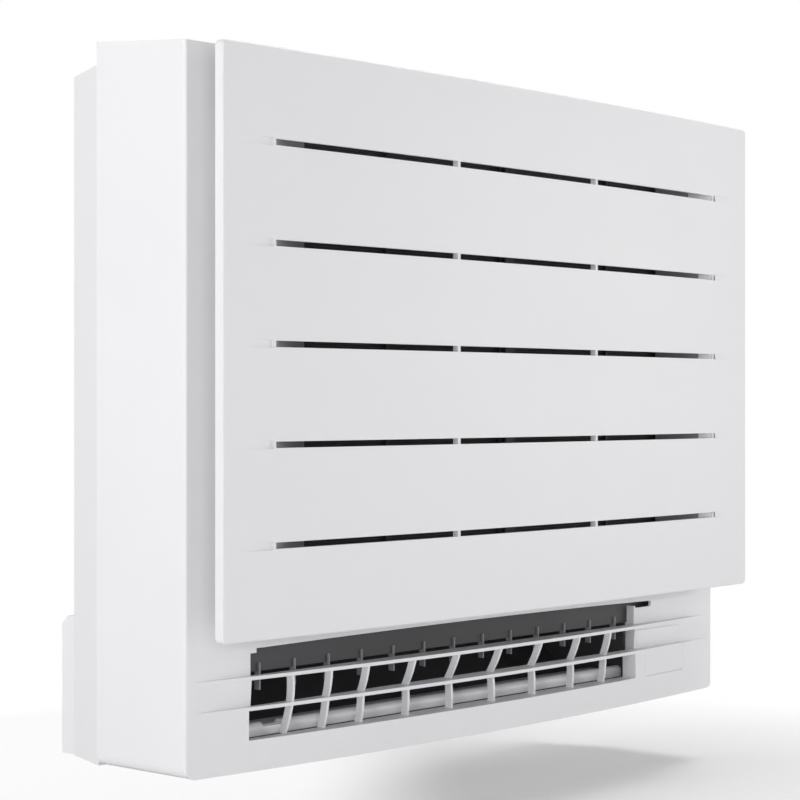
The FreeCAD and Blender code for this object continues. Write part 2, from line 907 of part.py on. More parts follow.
def panel_pins():
    """Hinge pins of the panel."""
    return Part.makeCompound([pin(side) for side in (-1, 1)])


def panel_catches():
    """Catch blocks on the casing that meet the strikers of the panel."""
    pieces = []
    for side in (-1, 1):
        x0 = side * catch_station - catch_wide / 2
        face = catch_face_depth
        block = box(x0, x0 + catch_wide, face, casing_edge, catch_z, catch_z + catch_high)
        keep = bowed(casing_sag, -half_width, half_width, -casing_sag, casing_front, 0, height)
        pieces.append(block.common(keep))
    return Part.makeCompound(pieces)


def filter_span(side):
    """Stations between which the filter of one side lies."""
    return sorted((side * (rail_wide / 2 + run_gap), side * (rail_half - run_gap)))


def filter_frame(side):
    """Curved frame of one filter with cross bars and a pull tab."""
    x0, x1 = filter_span(side)
    far = casing_front - fit_gap - mesh_thick
    near = far - filter_thick
    low = filter_base
    frame = bowed(casing_sag, x0, x1, near, far, low, filter_top)
    pitch = (filter_top - low - filter_border) / filter_rows
    for row in range(filter_rows):
        z0 = low + filter_border + row * pitch
        z1 = min(z0 + pitch - filter_bar, filter_top - filter_border)
        for a, b in halves(x0 + filter_border, x1 - filter_border):
            frame = frame.cut(bowed(casing_sag, a, b, near - overrun, far + overrun, z0, z1))
    middle = (x0 + x1) / 2
    half = filter_tab_wide / 2
    tab = bowed(casing_sag, middle - half, middle + half, near, far, filter_top, filter_top + filter_tab_high)
    return frame.fuse(tab)


def halves(x0, x1):
    """Two equal spans with a bar between them."""
    middle = (x0 + x1) / 2
    return [(x0, middle - filter_bar / 2), (middle + filter_bar / 2, x1)]


def filter_mesh(side):
    """Fine mesh sheet on the back of one filter frame."""
    x0, x1 = filter_span(side)
    far = casing_front - fit_gap
    return bowed(casing_sag, x0, x1, far - mesh_thick, far, filter_base, filter_top)


def on_off_button():
    """Round push button with a square flange behind the casing wall."""
    face = casing_front + bow(button_x - button_radius, casing_sag)
    back = casing_front + bow(button_x + button_radius + button_flange, casing_sag) + wall + fit_gap
    cap = rod(button_radius, V(button_x, face - button_proud, button_z), V(button_x, back, button_z))
    half = button_radius + button_flange
    rear = back + button_flange_thick
    return cap.fuse(box(button_x - half, button_x + half, back, rear, button_z - half, button_z + half))


def coil_tube_zs():
    """Heights of the coil tubes."""
    span = coil_top - coil_base - 2 * coil_tube_margin
    return [coil_base + coil_tube_margin + k * span / (coil_tube_count - 1) for k in range(coil_tube_count)]


def coil_depth():
    """Depth of the tube row."""
    return (coil_front + coil_rear) / 2


def coil_holes():
    """Holes for the tubes through fins and end plates."""
    d = coil_depth()
    section = octagon(coil_tube_radius + fit_gap / 2)
    return fuse([along_x([(d + a, z + b) for a, b in section], -width, width) for z in coil_tube_zs()])


def coil_fins():
    """Fin block of the coil."""
    return box(coil_left, coil_right, coil_front, coil_rear, coil_base, coil_top).cut(coil_holes())


def coil_end_plates():
    """Plates at both ends of the coil, standing in the pan and reaching back to the bell mouth."""
    low = pan_base + pan_wall
    plates = []
    for x in (coil_left - coil_plate_thick, coil_right):
        plates.append(box(x, x + coil_plate_thick, coil_front, bell_front - pan_wall, low, coil_top))
        tab = box(x, x + coil_plate_thick, coil_rear, bell_front, pan_top + fit_gap, coil_top)
        plates[-1] = plates[-1].fuse(tab)
    return Part.makeCompound(plates).cut(coil_holes())


def arc_points(centre, start, way, turn):
    """Points along a bend about a centre, leaving its start in the given direction."""
    arm = start - centre
    steps = round(bend_steps * turn / (math.pi / 2))
    turns = [turn * k / steps for k in range(steps + 1)]
    return [centre + arm * math.cos(t) + way * (arm.Length * math.sin(t)) for t in turns]


def coil_path():
    """Centre line of the coil tube, winding from the lowest tube to the highest."""
    d = coil_depth()
    zs = coil_tube_zs()
    left = coil_left - coil_plate_thick - coil_bend_reach
    right = coil_right + coil_plate_thick + coil_bend_reach
    points = [V(right, d, zs[0])]
    for k, (low, high) in enumerate(zip(zs, zs[1:])):
        x, way = (left, V(-1, 0, 0)) if k % 2 == 0 else (right, V(1, 0, 0))
        points += arc_points(V(x, d, (low + high) / 2), V(x, d, low), way, math.pi)
    return points + [V(right if len(zs) % 2 == 0 else left, d, zs[-1])]


def tube_along(points, radius):
    """Eight-sided tube along a chain of points, mitred at every corner."""
    ways = [(b - a).normalize() for a, b in zip(points, points[1:])]
    side = V(0, 1, 0) if abs(ways[0].x) > abs(ways[0].y) else V(1, 0, 0)
    other = ways[0].cross(side)
    ring = [points[0] + side * a + other * b for a, b in octagon(radius)]
    rings = [ring]
    for k, way in enumerate(ways):
        mitre = way + ways[k + 1] if k + 1 < len(ways) else way
        ring = [p + way * ((points[k + 1] - p).dot(mitre) / way.dot(mitre)) for p in ring]
        rings.append(ring)
    faces = [Part.Face(Part.makePolygon(end + end[:1])) for end in (rings[0], rings[-1])]
    for near, far in zip(rings, rings[1:]):
        for k in range(tube_sides):
            after = (k + 1) % tube_sides
            faces.append(Part.Face(Part.makePolygon([near[k], near[after], far[after], far[k], near[k]])))
    return Part.Solid(Part.makeShell(faces))


def coil_tubes():
    """Winding coil tube."""
    return tube_along(coil_path(), coil_tube_radius)


def pipe_route(corners):
    """Points of a pipe with equal bends at its corners."""
    points = [corners[0]]
    for before, corner, after in zip(corners, corners[1:], corners[2:]):
        way = (corner - before).normalize()
        enter = corner - way * pipe_bend
        leave = corner + (after - corner).normalize() * pipe_bend
        points += arc_points(enter + leave - corner, enter, way, math.pi / 2)
    return points + [corners[-1]]


def piped(corners, radius):
    """Pipe along its corners that ends in a round run for the coupling."""
    tip = corners[-1]
    root = tip - V(0, pipe_end_long, 0)
    return tube_along(pipe_route(corners[:-1] + [root]), radius).fuse(rod(radius, root, tip))


def gas_pipe():
    """Gas pipe from the lowest coil tube to the port at the back."""
    start = coil_path()[0]
    corners = [start, V(gas_x, start.y, start.z), V(gas_x, start.y, gas_end_z)]
    return piped(corners + [V(gas_x, pipe_end_depth, gas_end_z)], gas_radius)


def liquid_pipe():
    """Liquid pipe from the highest coil tube down to the port at the back."""
    start = coil_path()[-1]
    corners = [start, V(liquid_drop_x, start.y, start.z), V(liquid_drop_x, start.y, liquid_turn_z)]
    corners += [V(liquid_x, start.y, liquid_turn_z), V(liquid_x, start.y, liquid_end_z)]
    corners += [V(liquid_x, pipe_end_depth, liquid_end_z)]
    return piped(corners, liquid_radius)


def flare_nuts():
    """Hexagonal nuts near the ends of both pipes."""
    pieces = []
    rows = ((gas_x, gas_end_z, gas_radius, gas_nut_flats),
            (liquid_x, liquid_end_z, liquid_radius, liquid_nut_flats))
    for x, z, radius, flats in rows:
        start = V(x, rear_inside - 2 * nut_long, z)
        ends = [start - V(0, overrun, 0), start + V(0, nut_long + overrun, 0)]
        hole = tube_along(ends, radius + fit_gap / 2)
        pieces.append(hexagon(flats, nut_long, start, V(0, 1, 0)).cut(hole))
    return Part.makeCompound(pieces)


def drain_pan():
    """Tray under the coil with a hole for the drain socket."""
    tray = box(pan_left, pan_right, pan_front, pan_rear, pan_base, pan_top)
    inside = box(pan_left + pan_wall, pan_right - pan_wall, pan_front + pan_wall, pan_rear - pan_wall,
                 pan_base + pan_wall, pan_top + overrun)
    start = V(drain_x, drain_depth, pan_base - overrun)
    hole = tube_along([start, V(drain_x, drain_depth, pan_top)], drain_radius)
    return tray.cut(inside).cut(hole)


def drain_socket():
    """Spigot that leads the water out of the pan, with an eight-sided neck in the floor of the pan."""
    shoulder = V(drain_x, drain_depth, pan_base)
    low = V(drain_x, drain_depth, drain_end_z)
    neck = tube_along([shoulder, shoulder + V(0, 0, pan_wall)], drain_radius)
    ends = [low - V(0, 0, overrun), shoulder + V(0, 0, pan_wall + overrun)]
    bore = tube_along(ends, drain_radius - drain_wall)
    return rod(drain_radius, low, shoulder).fuse(neck).cut(bore)


def turned(profile):
    """Ring with many flat sides about the fan axis from radius and depth pairs."""
    rings = []
    for radius, d in profile:
        turns = [2 * math.pi * k / wheel_sides for k in range(wheel_sides)]
        rings.append([V(fan_x + radius * math.cos(t), d, fan_z + radius * math.sin(t)) for t in turns])
    faces = []
    for near, far in zip(rings, rings[1:] + rings[:1]):
        for k in range(wheel_sides):
            after = (k + 1) % wheel_sides
            faces.append(Part.Face(Part.makePolygon([near[k], near[after], far[after], far[k], near[k]])))
    solid = Part.Solid(Part.makeShell(faces))
    return solid if solid.Volume > 0 else solid.reversed()


def disc(radius, near, far):
    """Many-sided disc about the fan axis."""
    turns = [2 * math.pi * k / wheel_sides for k in range(wheel_sides)]
    rim = [V(fan_x + radius * math.cos(t), near, fan_z + radius * math.sin(t)) for t in turns]
    return Part.Face(Part.makePolygon(rim + rim[:1])).extrude(V(0, far - near, 0))


def bell_mouth():
    """Plate behind the coil with a coned eye that leads into the fan wheel."""
    plate = box(bell_left, bell_right, bell_front, bell_back, pan_top, bell_top)
    wide = eye_radius + bell_lip
    far = wheel_front + bell_lip
    flare = turned([(wide - wall, bell_front), (wide, bell_front),
                    (eye_radius, far), (eye_radius - wall, far)])
    return plate.cut(disc(wide - wall / 2, bell_front, bell_back)).fuse(flare)


def blade_point(radius, angle):
    """Point of a fan blade on the plane across the fan axis."""
    turn = math.radians(angle)
    return V(fan_x + radius * math.cos(turn), wheel_front + shroud_drop + wheel_sheet / 2,
             fan_z + radius * math.sin(turn))


def fan_blade(start_angle):
    """One backward-curved blade between shroud and back plate."""
    shares = [k / blade_chords for k in range(blade_chords + 1)]
    tip = fan_radius - blade_thick
    near = []
    far = []
    for share in shares:
        radius = blade_inner_radius + share * (tip - blade_inner_radius)
        angle = start_angle - blade_sweep * share
        near.append(blade_point(radius, angle))
        far.append(blade_point(radius, angle + math.degrees(blade_thick / radius)))
    outline = Part.makePolygon(near + far[::-1] + near[:1])
    return Part.Face(outline).extrude(V(0, wheel_back - wheel_sheet / 2 - near[0].y, 0))


def fan_wheel():
    """Fan wheel with hub, coned back plate, backward-curved blades and front shroud."""
    front = hub_plate_depth
    back = wheel_back
    cone = hub_radius + hub_cone_run
    plate = turned([(hub_boss_radius, front), (hub_radius, front), (cone, back - wheel_sheet),
                    (fan_radius, back - wheel_sheet), (fan_radius, back), (cone - wheel_sheet, back),
                    (hub_radius - wheel_sheet, front + wheel_sheet), (hub_boss_radius, front + wheel_sheet)])
    bore = shaft_radius + fit_gap / 2
    root = front + wheel_sheet
    boss = turned([(bore, hub_boss_front), (hub_boss_radius, hub_boss_front),
                   (hub_boss_radius, root), (bore, root)])
    neck = eye_radius + bell_lip
    flat = wheel_front + shroud_drop
    under = flat + wheel_sheet
    shroud = turned([(neck, flat), (fan_radius, flat), (fan_radius, under), (neck, under)])
    blades = [fan_blade(k * 360 / blade_count) for k in range(blade_count)]
    return fuse([plate, boss, shroud] + blades)


def motor_shaft():
    """Motor shaft that carries the fan wheel."""
    return rod(shaft_radius, V(fan_x, shaft_front, fan_z), V(fan_x, shaft_rear, fan_z))


def shaft_nut():
    """Nut that holds the wheel on the shaft."""
    start = V(fan_x, hub_boss_front - nut_thick, fan_z)
    radius = (shaft_radius + fit_gap / 2) / math.cos(math.pi / tube_sides)
    hole = tube_along([start - V(0, overrun, 0), start + V(0, nut_thick + overrun, 0)], radius)
    return hexagon(nut_flats, nut_thick, start, V(0, 1, 0)).cut(hole)


def fan_motor():
    """Motor can with a bore for the shaft."""
    start = V(fan_x, motor_front, fan_z)
    end = V(fan_x, shaft_rear + overrun, fan_z)
    bore = tube_along([start - V(0, overrun, 0), end], shaft_radius + 2 * run_gap)
    return disc(motor_radius, motor_front, motor_rear).cut(bore)


def motor_mount():
    """Plate with legs that holds the motor on the back wall."""
    half = mount_plate_half
    far = motor_rear + mount_plate_thick
    pieces = [box(fan_x - half, fan_x + half, motor_rear, far, fan_z - half, fan_z + half)]
    for x in (fan_x - half, fan_x + half - mount_leg_wide):
        for z in (fan_z - half, fan_z + half - mount_leg_wide):
            pieces.append(box(x, x + mount_leg_wide, motor_rear, rear_inside, z, z + mount_leg_wide))
    return fuse(pieces)


def scroll_guide(x_low, x_waist, x_high, lean):
    """Curved guide wall beside the fan wheel."""
    rows = ((x_low, guide_base), (x_waist, fan_z), (x_high, guide_top))
    near = [V(x, bell_back, z) for x, z in rows]
    far = [V(x + lean * guide_thick, bell_back, z) for x, z in rows]
    edges = [Part.Arc(*near).toShape(), Part.Arc(*far).toShape()]
    edges += [Part.makeLine(near[0], far[0]), Part.makeLine(near[2], far[2])]
    outline = Part.Wire(Part.__sortEdges__(edges))
    return Part.Face(outline).extrude(V(0, rear_inside - bell_back, 0))


def duct_floor():
    """Floor of the lower duct, level at the outlet and curving up to the back."""
    run = duct_far - duct_near
    low = [V(duct_left, duct_near + along * run, duct_floor_low + up * duct_floor_rise)
           for along, up in zip(duct_depth_shares, duct_rise_shares)]
    rows = [low, [spot + V(0, 0, duct_wall) for spot in low]]
    edges = [Part.makeLine(rows[0][0], rows[1][0]), Part.makeLine(rows[0][-1], rows[1][-1])]
    for spots in rows:
        edges += [Part.makeLine(*spots[:2]), Part.Arc(*spots[1:]).toShape()]
    outline = Part.Wire(Part.__sortEdges__(edges))
    return Part.Face(outline).extrude(V(duct_right - duct_left, 0, 0))


def duct_sides():
    """Side walls of the lower duct, standing on the base and carrying the pan."""
    far = duct_far + duct_wall
    pieces = []
    for x in (duct_left, duct_right - duct_wall):
        side = box(x, x + duct_wall, duct_front, far, base_thick, pan_base)
        bore = octagon((flap_pin_radius + fit_gap) / math.cos(math.pi / tube_sides))
        hole = along_x([(flap_depth + a, flap_z + b) for a, b in bore], x - overrun, x + duct_wall + overrun)
        pieces.append(side.cut(hole))
    return pieces


def duct_lip():
    """Baffle under the duct roof with a bead, and a screen behind the end of the slit."""
    back = lip_front + duct_wall
    baffle = box(duct_left, duct_right, lip_front, back, lip_base, pan_base)
    high = lip_bead_base + lip_bead_high
    bead = box(duct_left, duct_right, lip_front - fin_proud, lip_front, lip_bead_base, high)
    far = back + duct_wall
    screen = box(duct_right - duct_wall, slit_right + slit_screen_run, back, far, lip_base, pan_base)
    return fuse([baffle, bead, screen])


def lower_duct():
    """Dark duct that leads the air down to the lower outlet."""
    return fuse([duct_floor(), duct_lip()] + duct_sides())


def outlet_fins():
    """Comb of upright fins under the baffle, with teeth in front of it and a rail behind it."""
    left = duct_left + duct_wall
    right = duct_right - duct_wall
    front = lip_front - fin_proud
    back = lip_front + duct_wall
    rear = back + fin_rail_thick
    tooth = lip_base + fin_tooth_high
    outline = [(front, tooth), (lip_front, tooth), (lip_front, lip_base), (rear, lip_base), (rear, fin_base),
               (front, fin_base)]
    pieces = [box(left, right, back, rear, lip_base, lip_base + fin_rail_high)]
    pitch = (right - left) / fin_count
    for k in range(fin_count):
        x = left + (k + 1 / 2) * pitch
        pieces.append(along_x(outline, x, x + fin_thick))
    return fuse(pieces)


def lower_flap():
    """Lower flap with a nose rolled at the top, a flat tail and pivot pins."""
    left = duct_left + duct_wall + run_gap
    right = duct_right - duct_wall - run_gap
    nose = rod(flap_nose, V(left, flap_depth, flap_z), V(right, flap_depth, flap_z))
    low = flap_z - flap_tail_drop
    tail = box(left, right, flap_depth, flap_depth + flap_tail, low - flap_thick / 2, low + flap_thick / 2)
    apron = box(left, right, flap_depth - flap_nose, flap_depth, flap_z - flap_nose, flap_z)
    flap = nose.fuse(tail).fuse(apron)
    start = left + flap_notch_near
    notch = box(start, start + flap_notch_wide, 0, depth, flap_z + flap_nose / 3, flap_z + 2 * flap_nose)
    start = V(left - duct_wall, flap_depth, flap_z)
    pins = rod(flap_pin_radius, start, V(right + duct_wall, flap_depth, flap_z))
    return flap.cut(notch).fuse(pins)


def lower_flap_motor():
    """Stepping motor in a square case on the right wall of the lower duct."""
    half = flap_motor_half
    far = duct_right + flap_motor_long
    return box(duct_right, far, flap_depth - half, flap_depth + half, flap_z - half, flap_z + half)


def top_pivot():
    """Depth and height of the pivot axis of the upper flap."""
    d = top_rear - top_flap_gap - top_flap_roll
    return d, top_z(d) - top_flap_roll


def top_flap():
    """Upper flap that lies flush in the sloping top, rolled at its pivot edge."""
    left = top_left + top_flap_gap
    right = top_right - top_flap_gap
    d, z = top_pivot()
    near = top_front + top_flap_gap
    upper = [(near, top_z(near)), (d, top_z(d))]
    outline = upper + [(along, up - top_flap_thick) for along, up in reversed(upper)]
    plate = along_x(outline, left, right)
    roll = rod(top_flap_roll, V(left, d, z), V(right, d, z))
    reach = top_flap_gap + upper_wall - fit_gap
    pins = rod(top_pin_radius, V(left - reach, d, z), V(right + reach, d, z))
    return plate.fuse(roll).cut(above_top(0, left, right)).fuse(pins)


def blade_stations():
    """Stations of the upper louvre blades, bank by bank."""
    count = bank_count * blades_per_bank
    pitch = (top_right - top_left) / count
    return [top_left + (k + 1 / 2) * pitch for k in range(count)]


def upper_duct():
    """Frame under the upper outlet with bearings for louvres, flap and tie bars."""
    outer = box(top_left - upper_wall, top_right + upper_wall, top_front - upper_wall, top_rear + upper_wall,
                upper_base, height)
    inner = box(top_left, top_right, top_front, top_rear, upper_base - overrun, height + overrun)
    frame = outer.cut(inner).cut(above_top(wall, -width, width))
    for x in blade_stations():
        half = louvre_pin_radius + fit_gap
        frame = frame.cut(box(x - half, x + half, 0, depth, louvre_pivot_z - half, louvre_pivot_z + half))
    d, z = top_pivot()
    half = top_pin_radius + fit_gap
    frame = frame.cut(box(-width, width, d - half, d + half, z - half, z + half))
    return fuse([frame] + tie_rests())


def tie_rests():
    """Cross bars on which the tie bars slide."""
    stations = blade_stations()
    pitch = stations[1] - stations[0]
    high = tie_bar_base - fit_gap
    pieces = []
    for bank in range(bank_count):
        for k in (0, blades_per_bank - 2):
            x = stations[bank * blades_per_bank + k] + pitch / 2
            pieces.append(box(x - tie_rest_wide / 2, x + tie_rest_wide / 2, top_front - upper_wall,
                              top_rear + upper_wall, high - upper_wall, high))
    return pieces


def louvre(station):
    """One upper louvre blade with its flatted pins."""
    near = top_front + louvre_end_gap
    far = top_rear - louvre_end_gap
    blade = box(station - louvre_thick / 2, station + louvre_thick / 2, near, far, louvre_base, louvre_top)
    pins = rod(louvre_pin_radius, V(station, top_front - upper_wall, louvre_pivot_z),
               V(station, top_rear + upper_wall, louvre_pivot_z))
    flat = louvre_pin_flat
    flats = box(station - flat, station + flat, 0, depth, louvre_pivot_z - flat, louvre_pivot_z + flat)
    return blade.fuse(pins.common(flats))


def tie_bar(bank):
    """Tie bar that moves one bank of blades together."""
    stations = blade_stations()[bank * blades_per_bank:(bank + 1) * blades_per_bank]
    middle = (top_front + top_rear) / 2
    near = middle - tie_bar_deep / 2
    far = middle + tie_bar_deep / 2
    reach = louvre_thick / 2 + tie_prong_gap + tie_prong_thick
    low = tie_bar_base
    pieces = [box(stations[0] - reach, stations[-1] + reach, near, far, low, low + tie_bar_high)]
    for x in stations:
        for side in (-1, 1):
            x0 = x + side * (reach - tie_prong_thick / 2) - tie_prong_thick / 2
            pieces.append(box(x0, x0 + tie_prong_thick, near, far, low, low + tie_prong_high))
    return fuse(pieces)


def top_flap_motor():
    """Gear case and stepping motor at the right end of the upper flap."""
    d, _ = top_pivot()
    x = top_right + upper_wall
    roof = top_z(d - gear_case_deep / 2) - wall - fit_gap
    case = box(x, x + gear_case_long, d - gear_case_deep / 2, d + gear_case_deep / 2, gear_case_base, roof)
    half = top_motor_half
    far = x + gear_case_long + top_motor_long
    return case.fuse(box(x, far, d - half, d + half, top_motor_z - half, top_motor_z + half))


def control_box():
    """Sheet metal box for the electric parts, open to the front."""
    outer = box(control_left, control_right, control_front, rear_inside, control_base, control_top)
    inner = box(control_left + control_sheet, control_right - control_sheet, control_front - overrun,
                rear_inside - control_sheet, control_base + control_sheet, control_top - control_sheet)
    return outer.cut(inner)


def control_cover():
    """Front cover of the control box with folded lips."""
    near = control_front - control_sheet
    plate = box(control_left - control_sheet, control_right + control_sheet, near, control_front,
                control_base - control_sheet, control_top + control_sheet)
    lips = []
    for z in (control_base - control_sheet, control_top):
        lips.append(box(control_left, control_right, near, control_front + control_lip, z, z + control_sheet))
    return fuse([plate] + lips)


def circuit_board():
    """Circuit board on posts, with its larger components."""
    back = rear_inside - control_sheet
    near = back - circuit_stand_off
    left = control_left + control_sheet + circuit_margin
    right = control_right - control_sheet - circuit_margin
    low = control_base + terminal_high + 2 * circuit_margin
    high = control_top - control_sheet - circuit_margin
    pieces = [box(left, right, near - board_thick, near, low, high)]
    third = (high - low) / 3
    for k in range(3):
        z = low + third * k + circuit_margin
        face = near - circuit_part_high
        pieces.append(box(left + circuit_margin, right - circuit_margin, face, near, z, z + third / 3))
        pieces.append(box(left, left + post_wide, near, back, z, z + post_wide))
    return fuse(pieces)


def terminal_block():
    """Terminal block at the bottom of the control box."""
    back = rear_inside - control_sheet
    left = control_left + control_sheet + circuit_margin
    right = control_right - control_sheet - circuit_margin
    low = control_base + control_sheet + circuit_margin
    block = box(left, right, back - terminal_deep, back, low, low + terminal_high - 2 * circuit_margin)
    pitch = (right - left) / terminal_count
    for k in range(terminal_count):
        x = left + (k + 1 / 2) * pitch
        z = low + terminal_high / 2 - circuit_margin
        half = terminal_slot_wide / 2
        face = back - terminal_deep
        back = face + terminal_deep / 3
        block = block.cut(box(x - half, x + half, face - overrun, back, z - half, z + half))
    return block


def mounting_plate():
    """Wall plate with bolt holes, standing off the housing on bent feet."""
    near = depth - plate_thick
    plate = box(-plate_half, plate_half, near, depth, plate_base, plate_top)
    plate = plate.cut(box(-plate_window_half, plate_window_half, near - overrun, depth + overrun,
                          plate_base + plate_border, plate_top - plate_border))
    half = plate_foot_wide / 2
    for x in (plate_foot_wide - plate_half, plate_half - plate_foot_wide):
        for z in (plate_base, plate_top - plate_foot_high):
            plate = plate.fuse(box(x - half, x + half, housing_rear, depth, z, z + plate_thick))
            far = housing_rear + plate_thick
            plate = plate.fuse(box(x - half, x + half, housing_rear, far, z, z + plate_foot_high))
    middle = (plate_base + plate_top) / 2
    for x in (-bolt_spread_x / 2, bolt_spread_x / 2):
        for z in (middle - bolt_spread_z / 2, middle + bolt_spread_z / 2):
            plate = plate.cut(rod(bolt_radius, V(x, near - overrun, z), V(x, depth + overrun, z)))
    return plate


def save_case():
    """Write the casing, housing and front pieces."""
    save(rear_housing(), "rear_housing")
    save(front_casing(), "front_casing")
    save(outlet_grille(), "outlet_grille")
    save(receiver_cover(), "receiver_cover")
    save(display_board(), "display_board")
    save(front_panel(), "front_panel")
    save(panel_pins(), "panel_pins")
    save(panel_catches(), "panel_catches")
    save(intake_frame(), "intake_frame")
    save(on_off_button(), "on_off_button")
    for side, name in ((-1, "left"), (1, "right")):
        save(filter_frame(side), "filter_frame_" + name)
        save(filter_mesh(side), "filter_mesh_" + name)


def save_cooling():
    """Write the coil, drain and pipes."""
    save(coil_fins(), "coil_fins")
    save(coil_end_plates(), "coil_end_plates")
    save(coil_tubes(), "coil_tubes")
    save(gas_pipe(), "gas_pipe")
    save(liquid_pipe(), "liquid_pipe")
    save(flare_nuts(), "flare_nuts")
    save(drain_pan(), "drain_pan")
    save(drain_socket(), "drain_socket")


def save_air():
    """Write the fan, ducts, flaps and louvres."""
    save(bell_mouth(), "bell_mouth")
    save(fan_wheel(), "fan_wheel")
    save(motor_shaft(), "motor_shaft")
    save(shaft_nut(), "shaft_nut")
    save(fan_motor(), "fan_motor")
    save(motor_mount(), "motor_mount")
    save(scroll_guide(bell_left, guide_waist_left, bell_left, 1), "scroll_guide_left")
    save(scroll_guide(bell_right, guide_waist_right, bell_right, -1), "scroll_guide_right")
    save(lower_duct(), "lower_duct")
    save(outlet_fins(), "outlet_fins")
    save(lower_flap(), "lower_flap")
    save(lower_flap_motor(), "lower_flap_motor")
    save(upper_duct(), "upper_duct")
    save(top_flap(), "top_flap")
    save(top_flap_motor(), "top_flap_motor")
    for k, station in enumerate(blade_stations()):
        save(louvre(station), "louvre_%d" % (k + 1))
    for bank, name in enumerate(("left", "right")):
        save(tie_bar(bank), "tie_bar_" + name)


def save_electric():
    """Write the control box and the wall plate."""
    save(control_box(), "control_box")
    save(control_cover(), "control_cover")
    save(circuit_board(), "circuit_board")
    save(terminal_block(), "terminal_block")
    save(mounting_plate(), "mounting_plate")


os.makedirs("parts", exist_ok=True)
save_case()
save_cooling()
save_air()
save_electric()
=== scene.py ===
"""Finishes, fine pieces and stage of a floor console air conditioner, built around its solids."""
import math

import bmesh
import bpy
from bpy.props import FloatProperty, FloatVectorProperty, PointerProperty, StringProperty
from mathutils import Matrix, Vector


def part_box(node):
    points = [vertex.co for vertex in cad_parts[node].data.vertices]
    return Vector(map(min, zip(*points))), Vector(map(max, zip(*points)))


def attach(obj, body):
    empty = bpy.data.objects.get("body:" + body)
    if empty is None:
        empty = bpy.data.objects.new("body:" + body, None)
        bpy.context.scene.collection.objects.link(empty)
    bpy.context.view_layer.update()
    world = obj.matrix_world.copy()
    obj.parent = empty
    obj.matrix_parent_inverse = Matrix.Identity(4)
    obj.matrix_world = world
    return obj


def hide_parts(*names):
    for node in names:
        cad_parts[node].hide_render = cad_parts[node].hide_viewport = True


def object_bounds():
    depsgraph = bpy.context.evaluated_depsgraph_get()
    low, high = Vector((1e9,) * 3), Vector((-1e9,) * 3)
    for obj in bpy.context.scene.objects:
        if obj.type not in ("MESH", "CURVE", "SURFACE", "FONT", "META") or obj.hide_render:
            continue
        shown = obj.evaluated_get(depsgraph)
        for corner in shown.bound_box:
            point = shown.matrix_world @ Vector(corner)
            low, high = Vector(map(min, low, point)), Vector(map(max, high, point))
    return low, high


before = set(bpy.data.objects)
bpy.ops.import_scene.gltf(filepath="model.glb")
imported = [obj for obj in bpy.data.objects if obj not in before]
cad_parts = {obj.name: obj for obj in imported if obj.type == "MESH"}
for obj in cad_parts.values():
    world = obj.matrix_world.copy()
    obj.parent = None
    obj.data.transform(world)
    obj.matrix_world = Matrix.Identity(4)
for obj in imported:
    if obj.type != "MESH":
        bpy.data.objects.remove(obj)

CAD_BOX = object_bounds()
MM = 0.001

bl_info = {
    "name": "Floor Console Air Conditioner",
    "version": (1, 0, 0),
    "blender": (4, 5, 0),
    "location": "View3D > Sidebar > Console",
    # The grey sheets named in the description paint the shade at the slot ends.
    "description": "Finishes, coil, pipes, screws, painted shade sheets and stage of a floor console air conditioner",
    "category": "Object",
}

# CAD nodes that share a finish.
WHITE_NODES = ["front_casing", "front_panel", "rear_housing", "outlet_grille", "receiver_cover", "top_flap",
               "lower_flap", "on_off_button"]
DARK_NODES = ["lower_duct", "bell_mouth"]
GREY_NODES = ["upper_duct", "outlet_fins", "tie_bar_left", "tie_bar_right"] + ["louvre_%d" % k for k in range(1, 9)]
FOAM_NODES = ["scroll_guide_left", "scroll_guide_right"]
FILTER_NODES = ["filter_frame_left", "filter_frame_right", "intake_frame"]
NET_NODES = ["filter_mesh_left", "filter_mesh_right"]
PALE_NODES = ["drain_pan", "panel_catches", "drain_socket"]
BOARD_NODES = ["circuit_board", "display_board"]
ZINC_NODES = ["coil_end_plates", "mounting_plate", "control_box", "control_cover", "motor_mount"]
STEEL_NODES = ["panel_pins", "motor_shaft", "shaft_nut"]
MOTOR_NODES = ["lower_flap_motor", "top_flap_motor"]

# The coil's winding tube and the two pipes, in mm, on the routes of their solids.
COIL_LOWEST = 146
COIL_HIGHEST = 517
COIL_GAPS = 9
COIL_ROWS = [COIL_LOWEST + (COIL_HIGHEST - COIL_LOWEST) * k / COIL_GAPS for k in range(COIL_GAPS + 1)]
COIL_DEPTH = -39.0
COIL_ENDS = (-348.1, 250.1)
COIL_START = 229.5
COIL_RADIUS = 4.07
COIL_BEND = 20.0
GAS_RADIUS = 4.76
LIQUID_RADIUS = 3.18
PIPE_BEND = 16.0
PORT_DEPTH = 111
GAS_ROUTE = [(COIL_START, COIL_DEPTH, COIL_LOWEST), (284, COIL_DEPTH, COIL_LOWEST), (284, COIL_DEPTH, 60),
             (284, PORT_DEPTH, 60)]
LIQUID_ROUTE = [(COIL_START, COIL_DEPTH, COIL_HIGHEST), (262, COIL_DEPTH, COIL_HIGHEST), (262, COIL_DEPTH, 182),
                (318, COIL_DEPTH, 182), (318, COIL_DEPTH, 82), (318, PORT_DEPTH, 82)]

# How finely tubes, fins and screw heads are drawn, and a quarter circle's Bezier handle as a share of its radius.
QUARTER_PULL = 0.5523
BEND_STEPS = 6
TUBE_ROUND = 4
TUBE_SHARP = math.radians(50)
WELD_MM = 0.01
FIN_POINTS = 10
HEAD_SIDES = 16
CROWN_SHARE = 0.7

# Places of the screws across and up, in mm.
CASING_SCREWS = [(x, z) for x in (-336, 336) for z in (190, 420)]
COVER_SCREWS = [(x, z) for x in (280, 338) for z in (212, 493)]
